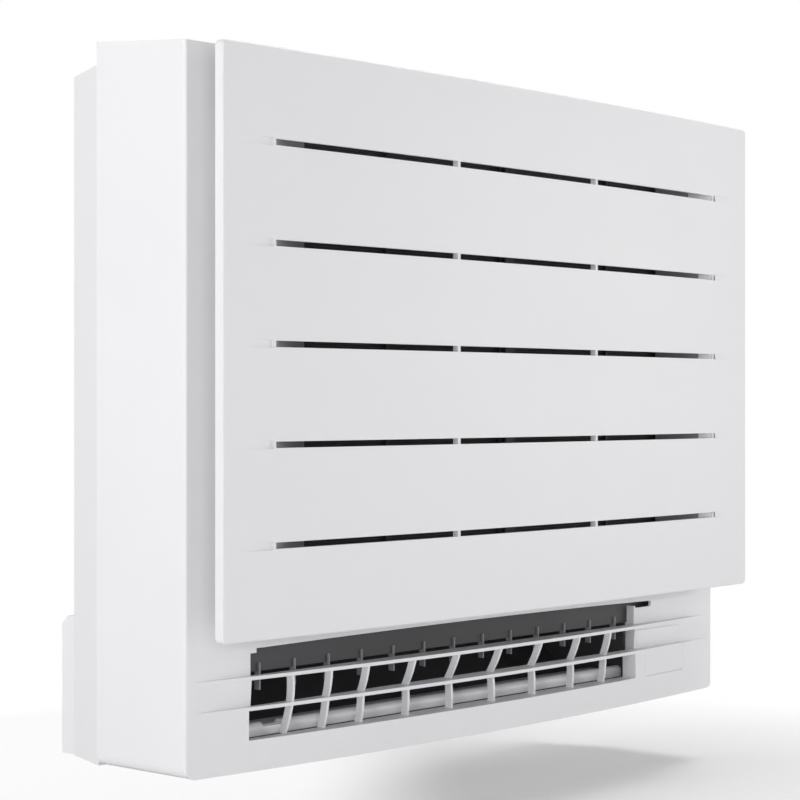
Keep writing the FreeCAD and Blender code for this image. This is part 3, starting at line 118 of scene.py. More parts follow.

# Lines across the panel's slanted walls from root to tip, in mm, and outlines of the grey sheets of painted shade
# on them, as shares of them with heights. The sheets' skins are how far their back and front lie off the wall.
LEFT_WALL = ((-319.0, -108.3), (-261.0, -83.3))
RIGHT_WALL = ((305.2, -108.3), (248.9, -84.0))
SHADE_SHEET_FOOT = 135
SHADE_SHEET_TOP = 560
LEFT_SHADE_SHEET = [(0.03, SHADE_SHEET_FOOT), (1.03, SHADE_SHEET_FOOT), (1.03, SHADE_SHEET_TOP), (0.03, SHADE_SHEET_TOP)]
RIGHT_SHADE_SHEET = [(0.22, SHADE_SHEET_FOOT), (1.05, SHADE_SHEET_FOOT), (1.05, SHADE_SHEET_TOP), (0.42, SHADE_SHEET_TOP), (0.42, 490), (0.22, 470)]
SHADE_SHEET_SKINS = (0.02, 0.5)

# Each lamp's name, its setting, and its place and size in metres.
LAMPS = [("side lamp", "side_light", (-2.8, 0.8, 1.6), 1.8),
         ("top lamp", "top_light", (0.9, -0.3, 2.3), 1.0),
         ("low lamp", "low_light", (-2.6, -1.0, 0.4), 1.2),
         ("front left lamp", "left_light", (-2.0, -2.2, 0.6), 1.4),
         ("front right lamp", "right_light", (2.45, -1.95, 0.5), 1.4)]
SENSOR_MM = 36.0

# The floor's half size, the ring in which it fades to white, and the band in which its shadow fades at the left,
# all in metres.
FLOOR_HALF = 6.0
FADE_NEAR = 0.40
FADE_FAR = 0.76
SHADOW_SIDE = (0.668, -0.745, 0)
WASH_FULL = -0.14
WASH_NONE = 0.04
WASH_SHARE = 0.85


def linear(hexcode):
    """Linear colour of an sRGB hex code."""
    channels = [int(hexcode[k:k + 2], 16) / 255 for k in (0, 2, 4)]
    return (*(c / 12.92 if c <= 0.04045 else ((c + 0.055) / 1.055) ** 2.4 for c in channels), 1)


def add(tree, kind, inputs, out=0, **settings):
    """Add a node with its settings, values and links, and give back one output, or all of them for None."""
    node = tree.nodes.new(kind)
    for name, value in settings.items():
        setattr(node, name, value)
    for socket, value in inputs.items():
        if isinstance(value, bpy.types.NodeSocket):
            tree.links.new(value, node.inputs[socket])
        else:
            node.inputs[socket].default_value = value
    if out is None or not len(node.outputs):
        return node.outputs
    return node.outputs[out]


def empty_material(name):
    """New material with an empty node tree."""
    material = bpy.data.materials.new(name)
    material.use_nodes = True
    material.node_tree.nodes.clear()
    return material, material.node_tree


def moulded(name, hexcode, roughness, grain_mm, lift_mm, stretch=(1, 1, 1), ior=1.53):
    """Moulded, pressed or stoved skin: a fine grain, and a sheen and tone that drift slowly over it."""
    # Real grains are a few tenths of a millimetre at most, and are drawn coarser so that they show.
    drift_mm, sheen_drift, shade = 110, 0.06, 0.965
    material, tree = empty_material(name)
    place = add(tree, "ShaderNodeTexCoord", {}, "Object")
    drawn = add(tree, "ShaderNodeMapping", {"Vector": place, "Scale": stretch})
    grain = add(tree, "ShaderNodeTexNoise", {"Vector": drawn, "Scale": 1 / (grain_mm * MM), "Detail": 3.0})
    flow = add(tree, "ShaderNodeTexNoise", {"Vector": place, "Scale": 1 / (drift_mm * MM), "Detail": 2.0})
    sheen = add(tree, "ShaderNodeMapRange", {"Value": flow, "To Min": roughness - sheen_drift,
                                             "To Max": roughness + sheen_drift})
    full = linear(hexcode)
    deep = tuple(shade * c for c in full[:3]) + (1,)
    tone = add(tree, "ShaderNodeMix", {0: flow, 6: deep, 7: full}, 2, data_type="RGBA")
    relief = add(tree, "ShaderNodeBump", {"Height": grain, "Strength": 0.5, "Distance": lift_mm * MM})
    skin = add(tree, "ShaderNodeBsdfPrincipled", {"Base Color": tone, "Roughness": sheen, "IOR": ior,
                                                  "Normal": relief})
    add(tree, "ShaderNodeOutputMaterial", {"Surface": skin})
    return material


def beaded(name, hexcode, seam_hex, bead_mm):
    """Expanded foam: round beads pressed together, a little darker in the seams."""
    lift_mm = 0.3
    material, tree = empty_material(name)
    place = add(tree, "ShaderNodeTexCoord", {}, "Object")
    bead = add(tree, "ShaderNodeTexVoronoi", {"Vector": place, "Scale": 1 / (bead_mm * MM)})
    tone = add(tree, "ShaderNodeMix", {0: bead, 6: linear(hexcode), 7: linear(seam_hex)}, 2, data_type="RGBA")
    relief = add(tree, "ShaderNodeBump", {"Height": bead, "Strength": 0.6, "Distance": lift_mm * MM}, invert=True)
    skin = add(tree, "ShaderNodeBsdfPrincipled", {"Base Color": tone, "Roughness": 0.85, "IOR": 1.45,
                                                  "Normal": relief})
    add(tree, "ShaderNodeOutputMaterial", {"Surface": skin})
    return material


def netted(name, thread_hex, gap_hex, pitch_mm):
    """Woven net: two crossing rows of round threads over dark gaps."""
    lift_mm = 0.4
    # A wave of scale 1 repeats every tau / 20 metres.
    scale = math.tau / 20 / (pitch_mm * MM)
    material, tree = empty_material(name)
    place = add(tree, "ShaderNodeTexCoord", {}, "Object")
    rows = [add(tree, "ShaderNodeTexWave", {"Vector": place, "Scale": scale}, "Fac", bands_direction=axis)
            for axis in ("X", "Z")]
    thread = add(tree, "ShaderNodeMath", {0: rows[0], 1: rows[1]}, operation="MAXIMUM")
    cover = add(tree, "ShaderNodeMapRange", {"Value": thread, "From Min": 0.55, "From Max": 0.8})
    tone = add(tree, "ShaderNodeMix", {0: cover, 6: linear(gap_hex), 7: linear(thread_hex)}, 2, data_type="RGBA")
    relief = add(tree, "ShaderNodeBump", {"Height": thread, "Strength": 0.7, "Distance": lift_mm * MM})
    skin = add(tree, "ShaderNodeBsdfPrincipled", {"Base Color": tone, "Roughness": 0.6, "IOR": 1.49,
                                                  "Normal": relief})
    add(tree, "ShaderNodeOutputMaterial", {"Surface": skin})
    return material


def worked(name, hexcode, dull_hex, roughness, grain_mm, stretch=(1, 1, 1)):
    """Worked metal: streaks along the way it was drawn, rolled or turned, and patches that have dulled."""
    # Real draw and turning lines are about a tenth of a millimetre apart, and are drawn coarser so that they show.
    patch_mm, lift_mm, bright_step, dull_step = 28, 0.05, 0.12, 0.14
    material, tree = empty_material(name)
    place = add(tree, "ShaderNodeTexCoord", {}, "Object")
    drawn = add(tree, "ShaderNodeMapping", {"Vector": place, "Scale": stretch})
    streak = add(tree, "ShaderNodeTexNoise", {"Vector": drawn, "Scale": 1 / (grain_mm * MM), "Detail": 4.0})
    patch = add(tree, "ShaderNodeTexNoise", {"Vector": place, "Scale": 1 / (patch_mm * MM), "Detail": 3.0})
    dull = add(tree, "ShaderNodeMapRange", {"Value": patch, "From Min": 0.45, "From Max": 0.75, "To Max": 0.8})
    tone = add(tree, "ShaderNodeMix", {0: dull, 6: linear(hexcode), 7: linear(dull_hex)}, 2, data_type="RGBA")
    sheen = add(tree, "ShaderNodeMapRange", {"Value": streak, "To Min": roughness - bright_step,
                                             "To Max": roughness + dull_step})
    relief = add(tree, "ShaderNodeBump", {"Height": streak, "Strength": 0.25, "Distance": lift_mm * MM})
    skin = add(tree, "ShaderNodeBsdfPrincipled", {"Base Color": tone, "Metallic": 1.0, "Roughness": sheen,
                                                  "Normal": relief})
    add(tree, "ShaderNodeOutputMaterial", {"Surface": skin})
    return material


def spangled(name, hexcode, dark_hex, crystal_mm):
    """Hot-dipped zinc: flat crystals, each with a sheen of its own."""
    lift_mm = 0.05
    material, tree = empty_material(name)
    place = add(tree, "ShaderNodeTexCoord", {}, "Object")
    crystal = add(tree, "ShaderNodeTexVoronoi", {"Vector": place, "Scale": 1 / (crystal_mm * MM)}, "Color")
    share = add(tree, "ShaderNodeSeparateColor", {"Color": crystal})
    tone = add(tree, "ShaderNodeMix", {0: share, 6: linear(hexcode), 7: linear(dark_hex)}, 2, data_type="RGBA")
    sheen = add(tree, "ShaderNodeMapRange", {"Value": share, "To Min": 0.34, "To Max": 0.52})
    relief = add(tree, "ShaderNodeBump", {"Height": share, "Strength": 0.12, "Distance": lift_mm * MM})
    skin = add(tree, "ShaderNodeBsdfPrincipled", {"Base Color": tone, "Metallic": 1.0, "Roughness": sheen,
                                                  "Normal": relief})
    add(tree, "ShaderNodeOutputMaterial", {"Surface": skin})
    return material


def printed(name, mask_hex, track_hex, track_mm):
    """Printed board: tracks that shine through a glossy lacquer."""
    line_share, run_share, lift_mm = 0.12, 4, 0.05
    material, tree = empty_material(name)
    place = add(tree, "ShaderNodeTexCoord", {}, "Object")
    upright = add(tree, "ShaderNodeMapping", {"Vector": place, "Rotation": (math.radians(-90), 0, 0)})
    track = add(tree, "ShaderNodeTexBrick", {"Vector": upright, "Scale": 1.0, "Row Height": track_mm * MM,
                                             "Mortar Size": line_share * track_mm * MM,
                                             "Brick Width": run_share * track_mm * MM,
                                             "Color1": linear(mask_hex), "Color2": linear(mask_hex),
                                             "Mortar": linear(track_hex)})
    relief = add(tree, "ShaderNodeBump", {"Height": track, "Strength": 0.2, "Distance": lift_mm * MM})
    skin = add(tree, "ShaderNodeBsdfPrincipled", {"Base Color": track, "Roughness": 0.3, "IOR": 1.5,
                                                  "Normal": relief})
    add(tree, "ShaderNodeOutputMaterial", {"Surface": skin})
    return material


def copper(context):
    """Drawn copper, made once."""
    # Warm metal with draw lines and browner patches where it was handled.
    return bpy.data.materials.get("drawn copper") or worked(
        "drawn copper", context.scene.console_finish.copper, "9C6248", roughness=0.34, grain_mm=0.9,
        stretch=(0.3, 1, 1))


def dress(names, material):
    """Give CAD nodes a material."""
    for name in names:
        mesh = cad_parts[name].data
        mesh.materials.clear()
        mesh.materials.append(material)


def carried(name, mesh, body):
    """Plain mesh object carried by a body."""
    piece = bpy.data.objects.new(name, mesh)
    bpy.context.scene.collection.objects.link(piece)
    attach(piece, body)
    return piece


def settled(source):
    """Plain mesh of an object as it stands with its modifiers, which then goes away."""
    bpy.context.scene.collection.objects.link(source)
    graph = bpy.context.evaluated_depsgraph_get()
    mesh = bpy.data.meshes.new_from_object(source.evaluated_get(graph))
    bpy.data.objects.remove(source)
    return mesh


def new_tree(name, sockets):
    """Geometry node tree with named inputs and one geometry output."""
    tree = bpy.data.node_groups.new(name, "GeometryNodeTree")
    tree.interface.new_socket("Geometry", in_out="OUTPUT", socket_type="NodeSocketGeometry")
    for label, kind in sockets:
        tree.interface.new_socket(label, in_out="INPUT", socket_type=kind)
    return tree, add(tree, "NodeGroupInput", {}, None)


def close_tree(tree, source, material):
    """End a tree in real geometry with its material."""
    real = add(tree, "GeometryNodeRealizeInstances", {"Geometry": source})
    painted = add(tree, "GeometryNodeSetMaterial", {"Geometry": real, "Material": material})
    add(tree, "NodeGroupOutput", {"Geometry": painted})


def grown(name, tree, values, body, places=()):
    """Piece grown by a node tree, from points where it needs them, and carried by a body."""
    mesh = bpy.data.meshes.new(name + "_seed")
    mesh.from_pydata([Vector(place) * MM for place in places], [], [])
    seed = bpy.data.objects.new(name + "_seed", mesh)
    modifier = seed.modifiers.new("grow", "NODES")
    modifier.node_group = tree
    for item in tree.interface.items_tree:
        if item.item_type == "SOCKET" and item.in_out == "INPUT" and item.name in values:
            modifier[item.identifier] = values[item.name]
    return carried(name, settled(seed), body)


def bent_tube(name, route_mm, radius_mm, bend_mm, material, node):
    """Round tube of straight runs and equal bends, in place of the many-sided one."""
    corners = [Vector(corner) * MM for corner in route_mm]
    bend = bend_mm * MM
    knots = [(corners[0], corners[0], corners[0])]
    for before, corner, after in zip(corners, corners[1:], corners[2:]):
        back = (before - corner).normalized()
        on = (after - corner).normalized()
        enter, leave = corner + back * bend, corner + on * bend
        knots.append((enter, enter, enter - back * bend * QUARTER_PULL))
        knots.append((leave, leave - on * bend * QUARTER_PULL, leave))
    knots.append((corners[-1], corners[-1], corners[-1]))
    line = bpy.data.curves.new(name + "_line", "CURVE")
    line.dimensions = "3D"
    line.bevel_depth = radius_mm * MM
    line.bevel_resolution = TUBE_ROUND
    line.resolution_u = BEND_STEPS
    line.use_fill_caps = True
    spline = line.splines.new("BEZIER")
    spline.bezier_points.add(len(knots) - 1)
    for point, (place, before, after) in zip(spline.bezier_points, knots):
        point.handle_left_type = point.handle_right_type = "FREE"
        point.co, point.handle_left, point.handle_right = place, before, after
    mesh = settled(bpy.data.objects.new(name + "_line", line))
    closed = bmesh.new()
    closed.from_mesh(mesh)
    bmesh.ops.remove_doubles(closed, verts=closed.verts, dist=WELD_MM * MM)
    bmesh.ops.recalc_face_normals(closed, faces=closed.faces)
    closed.to_mesh(mesh)
    closed.free()
    mesh.set_sharp_from_angle(angle=TUBE_SHARP)
    mesh.materials.clear()
    mesh.materials.append(material)
    piece = carried(name, mesh, "chassis")
    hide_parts(node)


def face_at(node, x_mm, z_mm):
    """Depth in millimetres at which a node's front is met from the front."""
    hit, spot, _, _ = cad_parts[node].ray_cast(Vector((x_mm * MM, -1, z_mm * MM)), Vector((0, 1, 0)))
    if not hit:
        raise ValueError("no face of %s at %s, %s" % (node, x_mm, z_mm))
    return spot.y / MM


def add_floor(stage):
    """Pale floor that keeps the shadow and fades into white far away."""
    mesh = bpy.data.meshes.new("pale floor")
    corners = [(-FLOOR_HALF, -FLOOR_HALF), (FLOOR_HALF, -FLOOR_HALF), (FLOOR_HALF, FLOOR_HALF),
               (-FLOOR_HALF, FLOOR_HALF)]
    mesh.from_pydata([(x, y, -stage.floor_drop) for x, y in corners], [], [(0, 1, 2, 3)])
    floor = bpy.data.objects.new("pale floor", mesh)
    bpy.context.scene.collection.objects.link(floor)
    mesh.materials.append(floor_paint(stage.floor_glow))


def seen_plainly(tree):
    """One where the eye, a gloss or clear glass looks, nought where light bounces."""
    path = add(tree, "ShaderNodeLightPath", {}, None)
    gloss = add(tree, "ShaderNodeMath", {0: path["Is Glossy Ray"], 1: path["Is Transmission Ray"]},
                operation="MAXIMUM")
    return add(tree, "ShaderNodeMath", {0: path["Is Camera Ray"], 1: gloss}, operation="MAXIMUM")


def floor_paint(near_glow):
    """White floor paint, plain white to the eye beyond the unit's surroundings."""
    nap_mm, lift_mm = 4, 0.1
    material, tree = empty_material("rolled white floor paint")
    place = add(tree, "ShaderNodeTexCoord", {}, "Object")
    # Matt white with the faint nap that a roller leaves.
    nap = add(tree, "ShaderNodeTexNoise", {"Vector": place, "Scale": 1 / (nap_mm * MM), "Detail": 2.0})
    relief = add(tree, "ShaderNodeBump", {"Height": nap, "Strength": 0.2, "Distance": lift_mm * MM})
    paint = add(tree, "ShaderNodeBsdfPrincipled", {"Base Color": linear("F7F7F7"), "Roughness": 0.9,
                                                   "Normal": relief})
    reach = add(tree, "ShaderNodeVectorMath", {0: place}, "Value", operation="LENGTH")
    fade = add(tree, "ShaderNodeMapRange", {"Value": reach, "From Min": FADE_NEAR, "From Max": FADE_FAR})
    # The shadow is kept at the right and in front, and drawn paler at the left and behind.
    aside = add(tree, "ShaderNodeVectorMath", {0: place, 1: SHADOW_SIDE}, "Value", operation="DOT_PRODUCT")
    wash = add(tree, "ShaderNodeMapRange", {"Value": aside, "From Min": WASH_FULL, "From Max": WASH_NONE,
                                            "To Min": WASH_SHARE, "To Max": 0.0}, interpolation_type="SMOOTHSTEP")
    pale = add(tree, "ShaderNodeMath", {0: fade, 1: wash}, operation="MAXIMUM")
    plain = seen_plainly(tree)
    share = add(tree, "ShaderNodeMath", {0: pale, 1: plain}, operation="MULTIPLY")
    power = add(tree, "ShaderNodeMath", {0: plain, 1: near_glow}, operation="MULTIPLY")
    lift = add(tree, "ShaderNodeEmission", {"Strength": power})
    near = add(tree, "ShaderNodeAddShader", {0: paint, 1: lift})
    far = add(tree, "ShaderNodeEmission", {"Strength": 1.0})
    both = add(tree, "ShaderNodeMixShader", {0: share, 1: near, 2: far})
    add(tree, "ShaderNodeOutputMaterial", {"Surface": both})
    return material


def add_world(scene, stage):
    """Even studio light, white where the eye or a gloss sees it."""
    world = bpy.data.worlds.new("studio")
    world.use_nodes = True
    scene.world = world
    tree = world.node_tree
    tree.nodes.clear()
    light = add(tree, "ShaderNodeBackground", {"Color": linear("FFFFFF"), "Strength": stage.sky_light})
    white = add(tree, "ShaderNodeBackground", {"Color": linear("FFFFFF"), "Strength": 1.0})
    both = add(tree, "ShaderNodeMixShader", {0: seen_plainly(tree), 1: light, 2: white})
    add(tree, "ShaderNodeOutputWorld", {"Surface": both})


def add_lamp(name, place, size, power):
    """Large soft lamp that looks at the middle of the unit."""
    data = bpy.data.lights.new(name, "AREA")
    data.size = size
    data.energy = power
    lamp = bpy.data.objects.new(name, data)
    lamp.location = place
    aim = Vector((0, 0, CAD_BOX[1][2] / 2)) - Vector(place)
    lamp.rotation_euler = aim.to_track_quat("-Z", "Y").to_euler()
    bpy.context.scene.collection.objects.link(lamp)


def add_camera(scene, stage):
    """Camera at the viewing angle of the photograph."""
    data = bpy.data.cameras.new("camera")
    data.sensor_width = SENSOR_MM
    data.lens = stage.camera_lens
    data.shift_y = stage.horizon_shift
    camera = bpy.data.objects.new("camera", data)
    camera.location = stage.camera_place
    camera.rotation_euler = (math.radians(90), 0, stage.camera_turn)
    scene.collection.objects.link(camera)
    scene.camera = camera


class ConsoleFinish(bpy.types.PropertyGroup):
    """Colours of the visible plastics, the grey sheets of painted shade at the slot ends, and copper."""
    case_white: StringProperty(name="Case white", description="sRGB hex of the white case", default="EDEDEF")
    duct_black: StringProperty(name="Duct black", description="sRGB hex of the lower duct", default="464648")
    duct_grey: StringProperty(name="Duct grey", description="sRGB hex of the upper duct", default="8E8F92")
    filter_black: StringProperty(name="Filter black", description="sRGB hex of the filters", default="3A3A3D")
    # Grey of the sheets at the slot ends, whose colour is painted shade.
    shade_sheet_grey: StringProperty(name="Painted shade grey", description="sRGB hex of the sheets of painted shade", default="9A9A9E")
    copper: StringProperty(name="Copper", description="sRGB hex of clean copper", default="C98B68")


class ConsoleCoil(bpy.types.PropertyGroup):
    """Sizes of the coil's fins."""
    # Real fins are 0.1 mm foil at 1.4 mm, drawn thicker and wider apart so that their edges show.
    fin_pitch: FloatProperty(name="Fin pitch", description="Distance between fins", default=2.0 * MM,
                             unit="LENGTH")
    fin_thick: FloatProperty(name="Fin thickness", description="Sheet of a fin", default=0.45 * MM,
                             unit="LENGTH")
    fin_wave: FloatProperty(name="Fin wave", description="Height of the waves pressed into a fin",
                            default=0.35 * MM, unit="LENGTH")
    wave_long: FloatProperty(name="Wave length", description="Length of one wave", default=12 * MM,
                             unit="LENGTH")


class ConsoleScrews(bpy.types.PropertyGroup):
    """Sizes of the screw heads."""
    head_radius: FloatProperty(name="Head radius", description="Outer radius of a head", default=4.0 * MM,
                               unit="LENGTH")
    head_high: FloatProperty(name="Head height", description="Height of a head", default=2.4 * MM,
                             unit="LENGTH")
    cross_long: FloatProperty(name="Cross length", description="Length of the cross", default=4.4 * MM,
                              unit="LENGTH")
    cross_wide: FloatProperty(name="Cross width", description="Width of a cross arm", default=1.1 * MM,
                              unit="LENGTH")


class ConsoleStage(bpy.types.PropertyGroup):
    """Floor, lamps and camera."""
    floor_drop: FloatProperty(name="Floor drop", description="Floor below the base", default=75 * MM,
                              unit="LENGTH")
    sky_light: FloatProperty(name="Sky light", description="Strength of the even light", default=0.25)
    side_light: FloatProperty(name="Side light", description="Power of the lamp at the left", default=32.0)
    top_light: FloatProperty(name="Top light", description="Power of the lamp above", default=19.5)
    low_light: FloatProperty(name="Low light", description="Power of the low lamp at the left", default=11.5)
    left_light: FloatProperty(name="Left light", description="Power of the lamp at the front left", default=16.5)
    right_light: FloatProperty(name="Right light", description="Power of the lamp at the front right",
                               default=20.5)
    floor_glow: FloatProperty(name="Floor glow", description="Light added to the floor to the eye", default=0.10)
    camera_place: FloatVectorProperty(name="Camera", description="Place of the camera",
                                      default=(-1.4998, -1.3022, 0.3012), unit="LENGTH")
    camera_turn: FloatProperty(name="Camera turn", description="Heading of the camera",
                               default=math.radians(-48.12), unit="ROTATION")
    camera_lens: FloatProperty(name="Lens", description="Focal length in millimetres", default=94.28)
    horizon_shift: FloatProperty(name="Shift", description="Upward shift of the frame", default=0.0031)


class CONSOLE_OT_plastics(bpy.types.Operator):
    """Finish the moulded plastic pieces"""
    bl_idname = "console.plastics"
    bl_label = "Plastic pieces"

    def execute(self, context):
        finish = context.scene.console_finish
        # Satin white with a broad soft highlight. The spark-eroded mould leaves a 0.1 mm texture, drawn at
        # 0.9 mm to show.
        dress(WHITE_NODES, moulded("moulded white ABS", finish.case_white, roughness=0.42, grain_mm=0.9,
                                   lift_mm=0.012, ior=1.54))
        # Matt charcoal that stays dark in the depth of the duct, with a coarse moulded grain.
        dress(DARK_NODES, moulded("moulded black polypropylene", finish.duct_black, roughness=0.58, grain_mm=1.4,
                                  lift_mm=0.04, ior=1.49))
        # Mid grey with a duller sheen than the case, as air guides have.
        dress(GREY_NODES, moulded("moulded grey ABS", finish.duct_grey, roughness=0.52, grain_mm=1.1,
                                  lift_mm=0.03, ior=1.54))
        # Pale foam beads about 3 mm across, with faint darker seams.
        dress(FOAM_NODES, beaded("expanded polystyrene", "E2E2E2", "C9C9CB", bead_mm=3.0))
        # Waxy black with flow marks along the bars.
        dress(FILTER_NODES, moulded("moulded filter polypropylene", finish.filter_black, roughness=0.5,
                                    grain_mm=1.2, lift_mm=0.03, stretch=(0.4, 1, 1), ior=1.49))
        # Threads 0.3 mm thick at 1 mm, drawn at 2.2 mm so that the weave shows.
        dress(NET_NODES, netted("woven polypropylene net", "454548", "161617", pitch_mm=2.2))
        # Mid grey with fine pale fibres in its skin.
        dress(["fan_wheel"], moulded("glass filled AS", "74777B", roughness=0.5, grain_mm=1.0, lift_mm=0.05,
                                     stretch=(1, 1, 0.25), ior=1.57))
        # Pale grey and slightly glossy, wiped clean by the water.
        dress(PALE_NODES, moulded("moulded polystyrene", "B9BABC", roughness=0.4, grain_mm=1.6, lift_mm=0.03,
                                  ior=1.59))
        # Hard near black with a dull pressed skin.
        dress(["terminal_block"], moulded("pressed phenolic", "2E2E30", roughness=0.45, grain_mm=0.8,
                                          lift_mm=0.03, ior=1.6))
        # Green lacquer over copper tracks 1.2 mm apart, drawn at 3 mm so that they show.
        dress(BOARD_NODES, printed("lacquered glass epoxy board", "2F6B45", "4F8A5C", track_mm=3.0))
        return {"FINISHED"}


class CONSOLE_OT_metals(bpy.types.Operator):
    """Finish the metal pieces"""
    bl_idname = "console.metals"
    bl_label = "Metal pieces"

    def execute(self, context):
        # Grey crystals of hot-dipped zinc, 6 to 10 mm across, that catch the light one by one.
        dress(ZINC_NODES, spangled("hot dipped zinc sheet", "C4C7CA", "B4B8BC", crystal_mm=8.0))
        # Yellow metal with turning rings and a little tarnish.
        dress(["flare_nuts"], worked("turned brass", "D2B36B", "B0904E", roughness=0.32, grain_mm=0.8,
                                     stretch=(1, 4, 1)))
        # Bright ground bar with fine scratches round it.
        dress(STEEL_NODES, worked("ground steel", "C3C5C7", "A4A6A8", roughness=0.3, grain_mm=0.7,
                                  stretch=(3, 1, 1)))
        # Plated can of a small motor, slightly clouded.
        dress(MOTOR_NODES, worked("stamped plated steel", "B8BABC", "9C9EA1", roughness=0.38, grain_mm=1.5))
        # Black stoved enamel with a faint orange peel.
        dress(["fan_motor"], moulded("stoved black enamel", "333436", roughness=0.32, grain_mm=2.0, lift_mm=0.06,
                                     ior=1.5))
        return {"FINISHED"}


class CONSOLE_OT_coil(bpy.types.Operator):
    """Waved fins and a round winding tube in place of the plain coil"""
    bl_idname = "console.coil"
    bl_label = "Coil"

    def execute(self, context):
        coil = context.scene.console_coil
        low, high = (Vector(corner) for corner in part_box("coil_fins"))
        span = high - low
        tree, given = new_tree("Coil fins", [("Count", "NodeSocketInt"), ("Start", "NodeSocketVector"),
                                             ("Step", "NodeSocketVector"), ("Size", "NodeSocketVector"),
                                             ("Wave", "NodeSocketFloat"), ("Turn", "NodeSocketFloat"),
                                             ("Material", "NodeSocketMaterial")])
        line = add(tree, "GeometryNodeMeshLine", {"Count": given["Count"], "Start Location": given["Start"],
                                                  "Offset": given["Step"]})
        sheet = add(tree, "GeometryNodeMeshCube", {"Size": given["Size"], "Vertices Y": FIN_POINTS})
        across = add(tree, "ShaderNodeSeparateXYZ", {0: add(tree, "GeometryNodeInputPosition", {})}, "Y")
        phase = add(tree, "ShaderNodeMath", {0: across, 1: given["Turn"]}, operation="MULTIPLY")
        swing = add(tree, "ShaderNodeMath", {0: phase}, operation="SINE")
        reach = add(tree, "ShaderNodeMath", {0: swing, 1: given["Wave"]}, operation="MULTIPLY")
        aside = add(tree, "ShaderNodeCombineXYZ", {"X": reach})
        waved = add(tree, "GeometryNodeSetPosition", {"Geometry": sheet, "Offset": aside})
        stack = add(tree, "GeometryNodeInstanceOnPoints", {"Points": line, "Instance": waved})
        close_tree(tree, stack, given["Material"])
        reserve = coil.fin_thick + 2 * coil.fin_wave
        count = int((span.x - reserve) / coil.fin_pitch) + 1
        middle = (low + high) / 2
        # Rolled foil: pale, streaked up and down, duller in patches.
        foil = worked("rolled aluminium foil", "E0E3E6", "C8CCD0", roughness=0.4, grain_mm=1.2,
                      stretch=(1, 1, 0.1))
        values = {"Count": count, "Start": (low.x + reserve / 2, middle.y, middle.z),
                  "Step": ((span.x - reserve) / (count - 1), 0, 0), "Size": (coil.fin_thick, span.y, span.z),
                  "Wave": coil.fin_wave, "Turn": math.tau / coil.wave_long, "Material": foil}
        fins = grown("coil_fin_stack", tree, values, "chassis")
        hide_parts("coil_fins")
        route = [(COIL_START, COIL_DEPTH, COIL_ROWS[0])]
        for k, (low_row, high_row) in enumerate(zip(COIL_ROWS, COIL_ROWS[1:])):
            end = COIL_ENDS[k % 2]
            route += [(end, COIL_DEPTH, low_row), (end, COIL_DEPTH, high_row)]
        route.append((COIL_START, COIL_DEPTH, COIL_ROWS[-1]))
        bent_tube("round_coil_tube", route, COIL_RADIUS, COIL_BEND, copper(context), "coil_tubes")
        return {"FINISHED"}


class CONSOLE_OT_pipes(bpy.types.Operator):
    """Round gas and liquid pipes"""
    bl_idname = "console.pipes"
    bl_label = "Pipes"

    def execute(self, context):
        bent_tube("round_gas_pipe", GAS_ROUTE, GAS_RADIUS, PIPE_BEND, copper(context), "gas_pipe")
        bent_tube("round_liquid_pipe", LIQUID_ROUTE, LIQUID_RADIUS, PIPE_BEND, copper(context), "liquid_pipe")
        return {"FINISHED"}


class CONSOLE_OT_screws(bpy.types.Operator):
    """Cross head screws of the casing and the control box"""
    bl_idname = "console.screws"
    bl_label = "Screws"

    def execute(self, context):
        sizes = context.scene.console_screws
        tree, given = new_tree("Cross head screws", [("Geometry", "NodeSocketGeometry"),
                                                     ("Radius", "NodeSocketFloat"), ("Crown", "NodeSocketFloat"),
                                                     ("Height", "NodeSocketFloat"), ("Arm", "NodeSocketVector"),
                                                     ("Cross Arm", "NodeSocketVector"),
                                                     ("Lift", "NodeSocketVector"),
                                                     ("Material", "NodeSocketMaterial")])
        head = add(tree, "GeometryNodeMeshCone", {"Vertices": HEAD_SIDES, "Radius Top": given["Crown"],
                                                  "Radius Bottom": given["Radius"], "Depth": given["Height"]})
        for arm in ("Arm", "Cross Arm"):
            bar = add(tree, "GeometryNodeMeshCube", {"Size": given[arm]})
            raised = add(tree, "GeometryNodeTransform", {"Geometry": bar, "Translation": given["Lift"]})
            head = add(tree, "GeometryNodeMeshBoolean", {"Mesh 1": head, "Mesh 2": raised},
                       operation="DIFFERENCE")
        facing = add(tree, "GeometryNodeTransform", {"Geometry": head, "Rotation": (math.radians(90), 0, 0)})
        rows = add(tree, "GeometryNodeInstanceOnPoints", {"Points": given["Geometry"], "Instance": facing})
        close_tree(tree, rows, given["Material"])
        # Bright zinc plate, slightly clouded.
        plate = worked("plated screw steel", "C8CACC", "A6A8AB", roughness=0.3, grain_mm=0.6)
        values = {"Radius": sizes.head_radius, "Crown": CROWN_SHARE * sizes.head_radius,
                  "Height": sizes.head_high, "Arm": (sizes.cross_long, sizes.cross_wide, sizes.head_high),
                  "Cross Arm": (sizes.cross_wide, sizes.cross_long, sizes.head_high),
                  "Lift": (0, 0, sizes.head_high), "Material": plate}
        casing = [(x, face_at("front_casing", x, z), z) for x, z in CASING_SCREWS]
        cover = [(x, face_at("control_cover", x, z), z) for x, z in COVER_SCREWS]
        grown("case_screws", tree, values, "chassis", casing + cover)
        return {"FINISHED"}


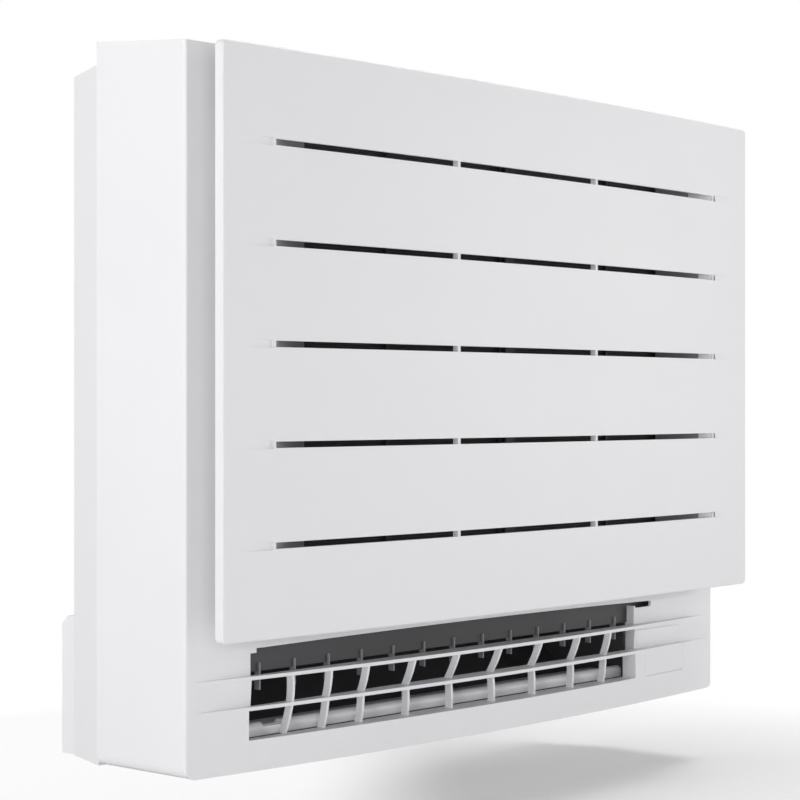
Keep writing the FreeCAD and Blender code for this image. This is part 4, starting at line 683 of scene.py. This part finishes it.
class CONSOLE_OT_shade_sheets(bpy.types.Operator):
    """Grey sheets on the slanted walls behind the slot ends, which paint the shade there"""
    bl_idname = "console.felt"
    bl_label = "Felt strips"

    def execute(self, context):
        strip = bmesh.new()
        for wall, outline in ((LEFT_WALL, LEFT_SHADE_SHEET), (RIGHT_WALL, RIGHT_SHADE_SHEET)):
            outer, inner = (Vector((*spot, 0)) for spot in wall)
            way = inner - outer
            lift = Vector((way.y, -way.x, 0)).normalized() * math.copysign(1, way.x)
            rings = [[strip.verts.new((outer + way * share + lift * rise + Vector((0, 0, z))) * MM)
                      for share, z in outline] for rise in SHADE_SHEET_SKINS]
            for ring in rings:
                strip.faces.new(ring)
            for k in range(len(outline)):
                after = (k + 1) % len(outline)
                strip.faces.new((rings[0][k], rings[0][after], rings[1][after], rings[1][k]))
        bmesh.ops.recalc_face_normals(strip, faces=strip.faces)
        mesh = bpy.data.meshes.new("ramp_felt")
        strip.to_mesh(mesh)
        strip.free()
        # Matt grey sheets with a fine grain, whose colour paints the shade at the slot ends.
        mesh.materials.append(moulded("pressed grey felt", context.scene.console_finish.shade_sheet_grey, roughness=0.9,
                                      grain_mm=0.6, lift_mm=0.2))
        carried("ramp_felt", mesh, "panel")
        return {"FINISHED"}


class CONSOLE_OT_stage(bpy.types.Operator):
    """Floor, light and camera"""
    bl_idname = "console.stage"
    bl_label = "Stage"

    def execute(self, context):
        stage = context.scene.console_stage
        add_floor(stage)
        add_world(context.scene, stage)
        for name, setting, place, size in LAMPS:
            add_lamp(name, place, size, getattr(stage, setting))
        add_camera(context.scene, stage)
        context.scene.view_settings.view_transform = "Standard"
        return {"FINISHED"}


OPERATORS = [CONSOLE_OT_plastics, CONSOLE_OT_metals, CONSOLE_OT_coil, CONSOLE_OT_pipes, CONSOLE_OT_screws,
             CONSOLE_OT_shade_sheets, CONSOLE_OT_stage]
GROUPS = {"console_finish": ConsoleFinish, "console_coil": ConsoleCoil, "console_screws": ConsoleScrews,
          "console_stage": ConsoleStage}


class CONSOLE_PT_pieces(bpy.types.Panel):
    """Sidebar list of the pieces"""
    bl_idname = "CONSOLE_PT_pieces"
    bl_label = "Floor console"
    bl_space_type = "VIEW_3D"
    bl_region_type = "UI"
    bl_category = "Console"

    def draw(self, context):
        for group in GROUPS:
            settings = getattr(context.scene, group)
            for name in settings.__annotations__:
                self.layout.prop(settings, name)
        for operator in OPERATORS:
            self.layout.operator(operator.bl_idname)


def register():
    """Make the classes and settings known."""
    for cls in [*GROUPS.values(), *OPERATORS, CONSOLE_PT_pieces]:
        bpy.utils.register_class(cls)
    for name, group in GROUPS.items():
        setattr(bpy.types.Scene, name, PointerProperty(type=group))


def unregister():
    """Take the classes and settings away."""
    for name in GROUPS:
        delattr(bpy.types.Scene, name)
    for cls in reversed([*GROUPS.values(), *OPERATORS, CONSOLE_PT_pieces]):
        bpy.utils.unregister_class(cls)


def main():
    """Build every piece."""
    register()
    for operator in OPERATORS:
        group, name = operator.bl_idname.split(".")
        getattr(getattr(bpy.ops, group), name)()


if __name__ == "__main__":
    main()
